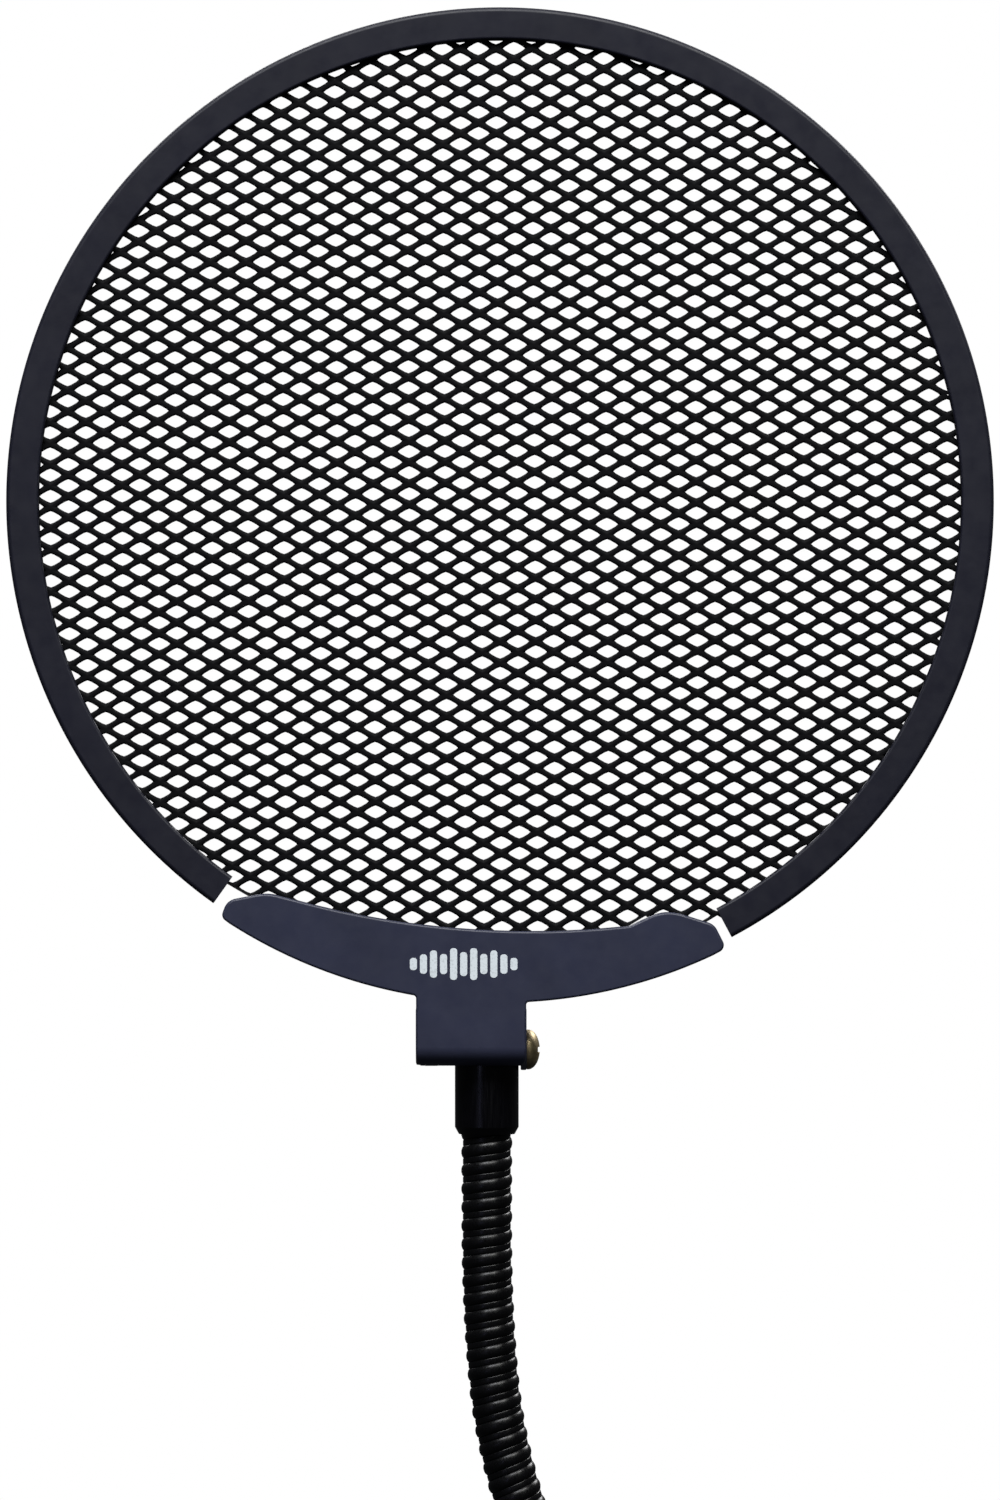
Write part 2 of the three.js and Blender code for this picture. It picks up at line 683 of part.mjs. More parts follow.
// Points of an arc of a ball, as [radius, place along X].
function ballArc(radius, fromAngle, toAngle, steps) {
  return Array.from({ length: steps + 1 }, (_, i) => {
    const angle = fromAngle + ((toAngle - fromAngle) * i) / steps;
    const r = angle ? radius * Math.sin(degToRad(angle)) : 0;
    return [r, BALL.centre - radius * Math.cos(degToRad(angle))];
  });
}

function pressureFoot() {
  const { front, rim, back, radius, boss, chamfer } = FOOT;
  const socket = ballArc(BALL.radius + CLEARANCE, 128, 0, 5);
  const outside = [
    [0, front],
    [radius - chamfer, front],
    [radius, front + chamfer],
    [radius, rim],
    [boss, rim],
    [boss, back],
    [socket[0][0], back],
  ];
  return turnedX([...outside, ...socket], 20);
}

function footPad() {
  const { face, thickness, radius } = FOOT_PAD;
  return turnedX(rod(radius, face, face + thickness), 24);
}

function clampScrew() {
  const { shoulder, chamfer, end } = SCREW_END;
  const profile = [
    ...ballArc(BALL.radius, 0, 130, 5),
    [BALL.neck, shoulder],
    [SCREW_RADIUS - chamfer, shoulder],
    [SCREW_RADIUS, shoulder + chamfer],
    [SCREW_RADIUS, end],
    [0, end],
  ];
  return turnedX(profile, 20);
}

function knobShape() {
  const { count, depth, stepsEach } = KNOB_LOBES;
  const steps = count * stepsEach;
  return shapeOf(
    Array.from({ length: steps }, (_, i) => {
      const angle = (i / steps) * 2 * Math.PI;
      const r = KNOB.radius - depth + depth * Math.cos(angle * count);
      return [r * Math.cos(angle), r * Math.sin(angle)];
    }),
  );
}

function clampKnob() {
  const { collar, body, end, collarRadius } = KNOB;
  const grip = toSolid(plateX(knobShape(), body, end));
  const neck = toSolid(turnedX(rod(collarRadius, collar, body + 1), 24));
  const bore = toSolid(turnedX(rod(SCREW_RADIUS + CLEARANCE, collar - 1, KNOB_BORE_END), 20));
  const capSeat = KNOB_CAP.seat - CLEARANCE;
  const recess = toSolid(turnedX(rod(KNOB_CAP.radius + CLEARANCE, capSeat, end + 1), 20));
  return toGeometry(grip.add(neck).subtract(bore).subtract(recess));
}

function knobCap() {
  const { seat, radius, bevelRadius, bevel, dome } = KNOB_CAP;
  const { end } = KNOB;
  const top = [[radius, end], [bevelRadius, end + bevel], [0, end + dome]];
  return turnedX([[0, seat], [radius, seat], ...top], 20);
}

function buildClamp() {
  const clamp = new THREE.Group();
  clamp.add(named('clamp_frame', clampFrame(), MATERIALS.bar));
  clamp.add(named('clamp_weld_nut', clampWeldNut(), MATERIALS.bar));
  clamp.add(named('fixed_jaw_pad', fixedJawPad(), MATERIALS.rubber));
  clamp.add(named('neck_fixing_screw', neckFixingScrew(), MATERIALS.zinc));
  clamp.add(named('neck_lock_washer', neckLockWasher(), MATERIALS.zinc));
  clamp.add(named('pressure_foot', pressureFoot(), MATERIALS.zinc));
  clamp.add(named('foot_pad', footPad(), MATERIALS.rubber));
  clamp.add(named('clamp_screw', clampScrew(), MATERIALS.zinc));
  clamp.add(named('clamp_knob', clampKnob(), MATERIALS.plastic));
  clamp.add(named('knob_cap', knobCap(), MATERIALS.plastic));
  return clamp;
}

// ---------------------------------------------------------------- assembly

const popFilter = new THREE.Group();
popFilter.add(buildClamp());
popFilter.add(buildNeck());

// The head's frame is set so that the upper ferrule's mouth meets the neck's flexing end.
const neckEnd = NeckLine.at(NECK_SOCKET + NECK_LENGTH).place;
const top = new THREE.Group();
top.position.set(neckEnd.x - PIVOT.x, -PIVOT.y, neckEnd.z - UPPER_FERRULE_MOUTH);
top.add(named('upper_ferrule', upperFerrule(), MATERIALS.gloss));
top.add(buildHead());
popFilter.add(top);

export default popFilter;
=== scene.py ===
import math

import bmesh
import bpy
import numpy as np
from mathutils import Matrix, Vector


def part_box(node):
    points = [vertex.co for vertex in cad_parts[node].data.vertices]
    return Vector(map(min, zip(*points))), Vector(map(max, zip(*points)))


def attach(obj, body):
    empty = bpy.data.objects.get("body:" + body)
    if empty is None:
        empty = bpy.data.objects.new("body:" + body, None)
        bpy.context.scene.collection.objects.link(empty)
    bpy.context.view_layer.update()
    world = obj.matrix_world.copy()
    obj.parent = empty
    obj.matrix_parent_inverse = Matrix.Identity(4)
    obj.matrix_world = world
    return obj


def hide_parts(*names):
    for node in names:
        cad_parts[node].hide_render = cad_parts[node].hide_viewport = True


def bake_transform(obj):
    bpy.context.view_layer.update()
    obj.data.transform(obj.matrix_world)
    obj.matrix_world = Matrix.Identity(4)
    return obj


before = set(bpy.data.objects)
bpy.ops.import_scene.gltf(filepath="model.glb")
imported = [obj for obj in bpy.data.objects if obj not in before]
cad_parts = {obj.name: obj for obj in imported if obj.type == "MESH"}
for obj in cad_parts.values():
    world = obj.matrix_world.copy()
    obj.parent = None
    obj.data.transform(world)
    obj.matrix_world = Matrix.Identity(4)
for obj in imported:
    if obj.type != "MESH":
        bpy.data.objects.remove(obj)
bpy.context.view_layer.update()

# A pop filter: an expanded-metal screen in an open rim, a two-plate clip with a tilting saddle,
# a gooseneck wound from two wires, and a screw clamp. Sizes are millimetres until MM is applied.

MM = 0.001


# ---------------------------------------------------------------- places, from the frame

def box_mm(node):
    low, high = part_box(node)
    return np.array(low) / MM, np.array(high) / MM


SCREEN_BOX = box_mm("screen_mesh")
HEAD = (SCREEN_BOX[0] + SCREEN_BOX[1]) / 2  # the screen's centre
FERRULE_BOX = box_mm("upper_ferrule")
FERRULE_AXIS = (FERRULE_BOX[0] + FERRULE_BOX[1]) / 2
ORIGIN = np.zeros(3)

# ---------------------------------------------------------------- sizes

SCREEN_RADIUS = 74.6
MESH_PITCH = (5.54, 3.27)  # one diamond of the mesh, long way and short way
MESH_HOLE = (3.40, 1.94)  # the eye-shaped hole in it
MESH_HOLE_POWER = 1.22  # 1 is a diamond, 2 an oval
MESH_TURN = 0.39  # degrees that the rows run uphill to the right
MESH_SHIFT = (-0.15, -0.40)  # one hole's centre from the screen's centre
MESH_HALF_THICKNESS = 0.45
MESH_TILT = 0.12  # how far a hole's upper edge stands forward of its middle, and its lower edge back
MESH_SHOULDER = (0.62, 0.05)  # share of the way to the hole, and how far the front has dropped there
MESH_ROUNDING = 0.27  # how far inside the mesh's two faces a hole's edge lies
MESH_STEPS = 3  # points on each side of a diamond
MESH_EDGE_GAP = 1.0  # a hole's centre stays this far inside the screen's edge
MESH_BOSS_GAP = 3.2  # and this far from a clip screw's centre
JOIN_GRID = 2000  # steps to the millimetre; points that round to the same place are joined

HEAD_ROLL = 3.75  # degrees that the screen and crescent sit round from the saddle
RIM = {"outer": 76.2, "inner": 71.2, "half": 1.6, "wall": 0.55, "lip": 0.7, "gap": 31.75}
RIM_ROUNDING = (0.85, 0.75, 0.3, 0.25)  # inner and outer edge, then the same two inside the fold
CLIP = {"outer": 77.4, "inner": 140.0, "edge": 66.2, "turn": 10.0, "front": 0.75, "back": 1.73}
CLIP_HALF = 28.9  # degrees, half of the outer arc
CLIP_ENDS = {  # the corners of each end: radius, angle from straight down, rounding
    "left": [(77.4, CLIP_HALF, 0), (77.3, 30.1, 1.2), (74.6, 30.6, 2.2), (70.3, 27.0, 7.0)],
    "right": [(77.4, CLIP_HALF, 0), (77.3, 30.6, 1.2), (73.2, 30.6, 2.2), (67.9, 25.8, 7.0)],
}
CLIP_EDGE = 0.4  # radius of the sheet's edges
CLIP_SCREWS = {"left": -21.0, "centre": 0.0, "right": 21.0}
CLIP_SCREW_RADIUS = 71.6
CLIP_SCREW = {"shank": 1.1, "head": 2.4, "height": 1.4, "tip": -0.4, "seat": 2.05}
CLIP_BOSS = {"bore": 1.4, "radius": 2.0, "front": -1.0, "back": 0.42}
SADDLE = {"left": -13.0, "right": 4.1, "top": -78.6, "bottom": -87.2, "curl": 3.0}
SADDLE_FRONT = 1.745
SADDLE_DRAW_IN = 0.45  # on each side, where the curl ends
SADDLE_ROUNDING = (0.75, 0.12)  # of its front and back edges
SHEET = 1.0
EAR = {"thickness": 0.9, "top": -78.2}
EAR_LOBES = {"left": 2.4, "right": 3.2}
MARK = {"width": 1.1, "spacing": 1.55, "rounding": 0.45, "middle": (-5.6, -71.4)}
MARK_HEIGHTS = [1.9, 3.0, 4.2, 3.1, 4.9, 3.7, 4.9, 3.1, 4.2, 3.0, 1.9]
PIVOT = (-2.05, 6.9, -84.9)
PIVOT_SCREW = {"shank": 1.5, "head": 3.1, "height": 2.1, "tip": -12.9, "wall": 0.12}
PIVOT_NUT = {"across": 5.0, "start": -11.8, "end": -9.5, "bore": 1.6, "turn": 30}
PIVOT_WASHER = {"bore": 1.7, "radius": 2.4, "start": -8.1, "end": -7.3}
PIVOT_SPRING = {"bore": 1.7, "radius": 2.38, "half": 0.3, "middle": -8.8, "rise": 0.18}

NECK_RADIUS = 4.0
NECK_SOCKET = 6.0  # how far each end sits in its ferrule
NECK_START = -34.7  # along X, in the lower ferrule
NECK_ARCS = [(8, 0), (185, 44), (54, 31), (16, 10), (22, 5), (15, 0)]  # length, turn in degrees
NECK_JOINTS = 8
NECK_BLEND = 2.0  # each coil's stretch is worked out to end this far from its hinges; the coils are not bent
WIRE_PITCH = 2.86
WIRE_PHASE = 0.5  # in turns
ROUND_WIRE = {"half_width": 1.12, "half_depth": 0.72, "below": 0.02}  # below the neck's radius
WEDGE_WIRE = {"foot": 0.9, "top": 0.42, "height": 1.0, "below": 0.28, "rounding": 0.15}
COIL_END = 0.5  # the wires stop this far from each end of the neck
FERRULE = {"radius": 4.95, "bore": 4.06, "depth": 6.0}
LOWER_HEX = {"across": 11.0, "length": 4.7, "bore": 2.7}

ARMS = {"fixed": -17.3, "screw": 34.0, "web": 20.0, "end": -11.0}
BAR = {"thickness": 4.0, "half": 9.0, "corner": 6.0, "bend": 4.5, "edge": 0.6}
WELD_NUT = {"across": 13.0, "bore": 4.2}
WELD = {"ripple": 0.18, "ripples": 18, "sink": 0.1, "width": 0.75, "height": 0.65}
THREAD_PITCH = 1.25
THREAD = {"start": 21.6, "end": 66.0, "root": 3.32, "crest": 3.98}
KNOB = {"collar": 65.2, "body": 68.5, "end": 82.0, "radius": 13.5, "neck": 8.5, "cap": 6.0}
KNOB_LOBES = (6, 1.6)  # how many, and how deep
KNOB_EDGE = 1.6
JAW_PAD = {"half": 9.0, "valley": 6.0, "depth": 2.2, "groove": 0.35, "spacing": 2.0}
NUT_FACE = 0.95  # radius of a chamfered face, as a share of half the width across the flats
RECESS = {"width": 0.13, "reach": 0.52, "depth": 0.5}  # of a cross recess, as shares of its screw's head
SHARP_ANGLE = 38  # degrees; a steeper edge is shaded sharp


# ---------------------------------------------------------------- materials

def add_node(tree, kind, **inputs):
    node = tree.nodes.new(kind)
    for name, value in inputs.items():
        node.inputs[name.replace("_", " ")].default_value = value
    return node


def noise(tree, size, detail=3.0, stretch=None):
    """Noise whose features are about the given size in millimetres."""
    place = tree.nodes.new("ShaderNodeTexCoord").outputs["Object"]
    if stretch:
        mapping = add_node(tree, "ShaderNodeMapping", Scale=stretch)
        tree.links.new(place, mapping.inputs["Vector"])
        place = mapping.outputs["Vector"]
    texture = add_node(tree, "ShaderNodeTexNoise", Scale=1 / (size * MM), Detail=detail)
    tree.links.new(place, texture.inputs["Vector"])
    return texture.outputs["Fac"]


def ramp(tree, source, stops):
    """Maps a factor to colours; stops lists (place, colour)."""
    node = tree.nodes.new("ShaderNodeValToRGB")
    elements = node.color_ramp.elements
    while len(elements) < len(stops):
        elements.new(0.5)
    for element, (place, colour) in zip(elements, stops):
        element.position = place
        element.color = (*colour, 1)
    tree.links.new(source, node.inputs["Fac"])
    return node.outputs["Color"]


def spread(tree, source, low, high):
    """Maps noise to a range of numbers."""
    node = add_node(tree, "ShaderNodeMapRange", To_Min=low, To_Max=high)
    node.inputs["From Min"].default_value = 0.3
    node.inputs["From Max"].default_value = 0.7
    tree.links.new(source, node.inputs["Value"])
    return node.outputs["Result"]


def bump(tree, source, height, below=None):
    """A bump of about the given height in millimetres."""
    node = add_node(tree, "ShaderNodeBump", Strength=1.0, Distance=height * MM)
    tree.links.new(source, node.inputs["Height"])
    if below:
        tree.links.new(below, node.inputs["Normal"])
    return node.outputs["Normal"]


def new_material(name, metallic=0.0, **inputs):
    material = bpy.data.materials.new(name)
    material.use_nodes = True
    tree = material.node_tree
    shader = tree.nodes["Principled BSDF"]
    shader.inputs["Metallic"].default_value = metallic
    for socket, value in inputs.items():
        shader.inputs[socket.replace("_", " ")].default_value = value
    return material, tree, shader


def scaled(colour, factor):
    return tuple(c * factor for c in colour)


def enamel(name, colour, roughness, grain, height, specular=0.5, worn=None):
    """Sprayed and baked paint: cloudy colour, fine orange peel, and bare spots on sharp edges."""
    material, tree, shader = new_material(name, Specular_IOR_Level=specular)
    cloud = noise(tree, 9.0, 4.0)
    stops = [(0.3, scaled(colour, 0.9)), (0.7, scaled(colour, 1.1))]
    tint = ramp(tree, cloud, stops)
    if worn:
        edge = tree.nodes.new("ShaderNodeNewGeometry").outputs["Pointiness"]
        rub = tree.nodes.new("ShaderNodeMix")
        rub.data_type = "RGBA"
        bare = ramp(tree, edge, [(0.54, (0, 0, 0)), (0.64, (0.5, 0.5, 0.5))])
        tree.links.new(bare, rub.inputs[0])
        tree.links.new(tint, rub.inputs[6])
        metal = ramp(tree, noise(tree, 0.6), [(0.4, colour), (0.7, worn)])
        tree.links.new(metal, rub.inputs[7])
        tint = rub.outputs[2]
    tree.links.new(tint, shader.inputs["Base Color"])
    blotch = noise(tree, 2.5, 5.0)
    tree.links.new(spread(tree, blotch, roughness * 0.88, roughness * 1.12), shader.inputs["Roughness"])
    peel = bump(tree, noise(tree, grain, 2.0), height)
    tree.links.new(bump(tree, noise(tree, grain * 6, 2.0), height * 2, peel), shader.inputs["Normal"])
    return material


def gloss(name, colour, roughness, stretch):
    """Hard gloss black with fine drawing marks along the part."""
    material, tree, shader = new_material(name, Specular_IOR_Level=0.28)
    cloud = noise(tree, 3.0, 5.0)
    tint = ramp(tree, cloud, [(0.35, scaled(colour, 0.8)), (0.7, scaled(colour, 1.5))])
    tree.links.new(tint, shader.inputs["Base Color"])
    marks = noise(tree, 0.25, 4.0, stretch)
    tree.links.new(spread(tree, marks, roughness * 0.7, roughness * 1.5), shader.inputs["Roughness"])
    tree.links.new(bump(tree, marks, 0.0015), shader.inputs["Normal"])
    return material


def plated(name, stops, roughness, stretch=(1, 1, 1)):
    """Plated or bare metal: tarnish in patches, and fine marks from turning."""
    material, tree, shader = new_material(name, metallic=1.0)
    patches = noise(tree, 1.6, 6.0)
    tree.links.new(ramp(tree, patches, stops), shader.inputs["Base Color"])
    marks = noise(tree, 0.12, 5.0, stretch)
    tree.links.new(spread(tree, marks, roughness * 0.75, roughness * 1.35), shader.inputs["Roughness"])
    tree.links.new(bump(tree, marks, 0.004), shader.inputs["Normal"])
    return material


def moulded(name, colour, roughness, grain, height):
    """Rubber or textured plastic: a pebbled surface with a little dust in it."""
    material, tree, shader = new_material(name, Specular_IOR_Level=0.35)
    dust = noise(tree, 4.0, 6.0)
    tint = ramp(tree, dust, [(0.35, colour), (0.75, scaled(colour, 1.7))])
    tree.links.new(tint, shader.inputs["Base Color"])
    tree.links.new(spread(tree, dust, roughness * 0.9, roughness * 1.1), shader.inputs["Roughness"])
    cells = add_node(tree, "ShaderNodeTexVoronoi", Scale=1 / (grain * MM))
    place = tree.nodes.new("ShaderNodeTexCoord").outputs["Object"]
    tree.links.new(place, cells.inputs["Vector"])
    pebbles = bump(tree, cells.outputs["Distance"], height)
    tree.links.new(bump(tree, noise(tree, grain * 3), height, pebbles), shader.inputs["Normal"])
    return material


def printed_ink(name, colour):
    """Pale screen print, a little thin in places."""
    material, tree, shader = new_material(name, Specular_IOR_Level=0.3)
    cover = noise(tree, 0.35, 6.0)
    tint = ramp(tree, cover, [(0.3, scaled(colour, 0.8)), (0.5, colour)])
    tree.links.new(tint, shader.inputs["Base Color"])
    tree.links.new(spread(tree, cover, 0.45, 0.6), shader.inputs["Roughness"])
    tree.links.new(bump(tree, cover, 0.003), shader.inputs["Normal"])
    return material


RIM_ENAMEL = enamel("rim_enamel", (0.0092, 0.0095, 0.0190), 0.5, 0.16, 0.004, specular=0.42)
CLIP_ENAMEL = enamel("clip_enamel", (0.0295, 0.0330, 0.0640), 0.45, 0.2, 0.005)
MESH_ENAMEL = enamel("mesh_enamel", (0.0020, 0.0020, 0.0028), 0.6, 0.1, 0.003, specular=0.08)
BAR_ENAMEL = enamel("bar_enamel", (0.0065, 0.0065, 0.0075), 0.42, 0.3, 0.012, worn=(0.16, 0.15, 0.14))
FERRULE_BLACK = gloss("ferrule_black", (0.0010, 0.0009, 0.0016), 0.26, (1, 1, 0.06))
SOCKET_BLACK = gloss("socket_black", (0.0030, 0.0030, 0.0035), 0.2, (0.06, 1, 1))
NECK_BLACK = gloss("neck_black", (0.0022, 0.0022, 0.0026), 0.3, (1, 1, 1))
DULL_BRASS = plated("dull_brass", [(0.3, (0.26, 0.21, 0.12)), (0.7, (0.58, 0.47, 0.29))], 0.5)
ZINC = plated("zinc_plate", [(0.3, (0.36, 0.37, 0.39)), (0.7, (0.52, 0.52, 0.50))], 0.3)
RUBBER = moulded("black_rubber", (0.012, 0.012, 0.013), 0.8, 0.35, 0.02)
PLASTIC = moulded("knob_plastic", (0.008, 0.008, 0.010), 0.5, 0.22, 0.012)
PRINT = printed_ink("pale_print", (0.88, 0.95, 1.0))


# ---------------------------------------------------------------- shapes

AXES = {
    "x": np.array([(1, 0, 0), (0, 1, 0), (0, 0, 1)], float),
    "y": np.array([(0, 1, 0), (0, 0, 1), (1, 0, 0)], float),
    "z": np.array([(0, 0, 1), (1, 0, 0), (0, 1, 0)], float),
}


def rounded(corners, steps=4, closed=False):
    """A polyline of (u, v, radius) corners, each turned into an arc of its radius."""
    points = []
    for i, (u, v, radius) in enumerate(corners):
        here = np.array((u, v), float)
        ends_here = not closed and i in (0, len(corners) - 1)
        if radius <= 0 or ends_here:
            points.append(here)
            continue
        before = np.array(corners[i - 1][:2]) - here
        after = np.array(corners[(i + 1) % len(corners)][:2]) - here
        lengths = np.linalg.norm(before), np.linalg.norm(after)
        before /= lengths[0]
        after /= lengths[1]
        half = math.acos(np.clip(before @ after, -1, 1)) / 2
        reach = min(radius / math.tan(half), 0.49 * min(lengths))
        radius = reach * math.tan(half)
        middle = before + after
        centre = here + middle / np.linalg.norm(middle) * radius / math.sin(half)
        first = here + before * reach - centre
        last = here + after * reach - centre
        for j in range(steps + 1):
            spoke = first + (last - first) * j / steps
            points.append(centre + spoke / np.linalg.norm(spoke) * radius)
    return np.array(points)


def arc(centre, radius, start, end, steps):
    """Points of an arc, with its angles in degrees from the first axis."""
    angles = np.radians(np.linspace(start, end, steps + 1))
    return np.column_stack([centre[0] + radius * np.cos(angles), centre[1] + radius * np.sin(angles)])


def loft(rings, wrap=False, cap=True):
    """Closed rings of equally many points, joined in order."""
    count = len(rings[0])
    faces = []
    for i in range(len(rings) if wrap else len(rings) - 1):
        a = i * count
        b = (i + 1) % len(rings) * count
        faces += [(a + j, a + (j + 1) % count, b + (j + 1) % count, b + j) for j in range(count)]
    points = np.concatenate(rings)
    if cap and not wrap:
        faces.append(tuple(range(count)))
        faces.append(tuple(range(len(points) - count, len(points))))
    return points, faces


def around(axis, along, radii, count=48):
    """A ring about an axis; radii is one radius, or one for each point."""
    angles = np.arange(count) * 2 * math.pi / count
    radii = np.broadcast_to(radii, count)
    lead, first, second = AXES[axis]
    spokes = np.cos(angles)[:, None] * first + np.sin(angles)[:, None] * second
    return along * lead + radii[:, None] * spokes


def turned(axis, profile, count=48, wrap=False):
    """A turned solid: its profile lists (radius, place along the axis, corner radius)."""
    outline = rounded(profile, closed=wrap)
    return loft([around(axis, along, radius, count) for radius, along in outline], wrap=wrap)


def moved(shell, offset):
    points, faces = shell
    return points + np.asarray(offset, float), faces


def plate(outline, low, high, edge, place, steps=3):
    """A sheet with rounded edges: an outline run anti-clockwise, put in space by place(uv, depth)."""
    ahead = np.roll(outline, -1, axis=0) - outline
    ahead /= np.linalg.norm(ahead, axis=1)[:, None]
    mean = ahead + np.roll(ahead, 1, axis=0)
    mean /= np.linalg.norm(mean, axis=1)[:, None]
    outward = np.column_stack([mean[:, 1], -mean[:, 0]])
    stretch = 1 / np.maximum(0.5, np.abs((mean * ahead).sum(axis=1)))
    outward *= stretch[:, None]
    turns = np.linspace(0, math.pi / 2, steps + 1)
    levels = [(low + edge * (1 - math.cos(t)), edge * (1 - math.sin(t))) for t in turns]
    levels += [(high - edge * (1 - math.cos(t)), edge * (1 - math.sin(t))) for t in turns[::-1]]
    return loft([place(outline - outward * inset, depth) for depth, inset in levels])


def facing_y(uv, depth):
    return np.column_stack([uv[:, 0], np.full(len(uv), depth), uv[:, 1]])


def facing_x(uv, depth):
    return np.column_stack([np.full(len(uv), depth), uv])


def hexagon(across, count, turn=0.0):
    """Radii of a hexagon of a width across its flats, in evenly spaced directions."""
    angles = np.arange(count) * 2 * math.pi / count + math.radians(turn)
    return across / 2 / np.cos((angles + math.pi / 6) % (math.pi / 3) - math.pi / 6)


def hex_nut(axis, across, start, end, bore, turn=0.0, count=96):
    """A hexagon nut with the usual chamfers and a plain hole."""
    flats = hexagon(across, count, turn)
    face = across / 2 * NUT_FACE
    depth = (flats.max() - face) / math.sqrt(3)
    insets = np.linspace(0, depth, 6)
    rings = [around(axis, start, bore, count)]
    rings += [around(axis, start + d, np.minimum(flats, face + d * math.sqrt(3)), count) for d in insets]
    rings += [around(axis, end - d, np.minimum(flats, face + d * math.sqrt(3)), count) for d in insets[::-1]]
    rings += [around(axis, end, bore, count)]
    return loft(rings, wrap=True)


def cross_recess(radius, width, reach, count):
    """True where a point of a ring lies in a cross recess."""
    angles = np.arange(count) * 2 * math.pi / count
    a = np.abs(radius * np.cos(angles))
    b = np.abs(radius * np.sin(angles))
    return (np.minimum(a, b) < width) & (np.maximum(a, b) < reach)


def pan_screw(axis, shank, head, height, tip, seat, wall=0.35, count=96):
    """A screw with a domed head and a cross recess; wall is the upright share of the head's height."""
    body = [
        (0, tip, 0), (shank, tip, 0.2), (shank, seat, 0), (head, seat, 0.12), (head, seat + height * wall, 0)]
    rings = [around(axis, along, radius, count) for radius, along in rounded(body)]
    lead = AXES[axis][0]
    steps = 24
    for step in range(1, steps + 1):
        turn = step / steps * math.pi / 2
        radius = head * math.cos(turn)
        along = seat + height * (wall + (1 - wall) * math.sin(turn))
        points = around(axis, along, radius, count)
        cut = cross_recess(radius, head * RECESS["width"], head * RECESS["reach"], count)
        depth = np.where(cut, height * RECESS["depth"], 0)
        rings.append(points - depth[:, None] * lead)
    return loft(rings)


def wound(path, section, pitch, start, end, turn, steps):
    """A wire of (along, outward) section wound right-handed round a path, at a starting turn."""
    section = np.asarray(section, float)
    count = math.ceil((end - start) / pitch * steps)
    rings = []
    for at in np.linspace(start, end, count + 1):
        place, ahead, first, second = path(at)
        angle = 2 * math.pi * (at / pitch + turn)
        outward = math.cos(angle) * first + math.sin(angle) * second
        rings.append(place + section[:, :1] * ahead + section[:, 1:] * outward)
    return loft(rings)


# ---------------------------------------------------------------- pieces

def finished_mesh(name, shells, origin):
    """One mesh in metres from shells in millimetres, with merged points and sharp edges marked."""
    points = []
    faces = []
    for shell_points, shell_faces in shells:
        offset = sum(len(p) for p in points)
        points.append(shell_points)
        faces += [tuple(i + offset for i in face) for face in shell_faces]
    mesh = bpy.data.meshes.new(name)
    mesh.from_pydata(((np.concatenate(points) + origin) * MM).tolist(), [], faces)
    work = bmesh.new()
    work.from_mesh(mesh)
    bmesh.ops.remove_doubles(work, verts=work.verts, dist=1e-7)
    bmesh.ops.dissolve_degenerate(work, edges=work.edges, dist=1e-8)
    bmesh.ops.recalc_face_normals(work, faces=work.faces)
    for face in work.faces:
        face.smooth = len(face.verts) <= 4
    work.to_mesh(mesh)
    work.free()
    mesh.set_sharp_from_angle(angle=math.radians(SHARP_ANGLE))
    return mesh


def make_piece(name, shells, material, origin=ORIGIN, weighted=True):
    mesh = finished_mesh(name, shells, origin)
    mesh.materials.append(material)
    piece = bpy.data.objects.new(name, mesh)
    bpy.context.scene.collection.objects.link(piece)
    if weighted:
        piece.modifiers.new("normals", "WEIGHTED_NORMAL").keep_sharp = True
    return piece


def ride_for(piece, body, *nodes):
    """The piece moves with a body and stands for its nodes."""
    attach(piece, body)
    if nodes:
        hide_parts(*nodes)


# ---------------------------------------------------------------- screen and rim

def below_centre(radius, angle):
    """A place at a radius from the screen's centre, at an angle from straight down towards +X."""
    turn = math.radians(angle)
    return np.array([radius * math.sin(turn), -radius * math.cos(turn)])


def diamond_outline(per_side):
    """The border of one mesh diamond, anti-clockwise from its right corner."""
    corners = np.array([(1, 0), (0, 1), (-1, 0), (0, -1)]) * MESH_PITCH / 2
    following = np.roll(corners, -1, axis=0)
    sides = [np.linspace(a, b, per_side, endpoint=False) for a, b in zip(corners, following)]
    return np.concatenate(sides)


def eye_outline(per_side):
    """The hole: a diamond with bulging sides and blunt corners."""
    turn = np.arange(4 * per_side) / (4 * per_side) * 2 * math.pi
    circle = np.column_stack([np.cos(turn), np.sin(turn)])
    return np.sign(circle) * np.abs(circle) ** (2 / MESH_HOLE_POWER) * MESH_HOLE / 2


def mesh_cell(per_side):
    """Rings of one diamond of the mesh, from its border at the front round the hole to the back."""
    border = diamond_outline(per_side)
    hole = eye_outline(per_side)
    half = MESH_HALF_THICKNESS
    lean = MESH_TILT * hole[:, 1] / (MESH_HOLE[1] / 2)

    def ring(share, depth):
        outline = border + (hole - border) * share
        return np.column_stack([outline[:, 0], depth - lean * share, outline[:, 1]])

    shoulder, drop = MESH_SHOULDER
    edge = half - MESH_ROUNDING
    levels = [(0, -half), (shoulder, drop - half), (1, -edge), (1, edge), (0, half)]
    return [ring(*level) for level in levels]


def turning(degrees):
    """The matrix that turns a place about the screen's centre, from +X towards +Z."""
    turn = math.radians(degrees)
    return np.array([(math.cos(turn), -math.sin(turn)), (math.sin(turn), math.cos(turn))])


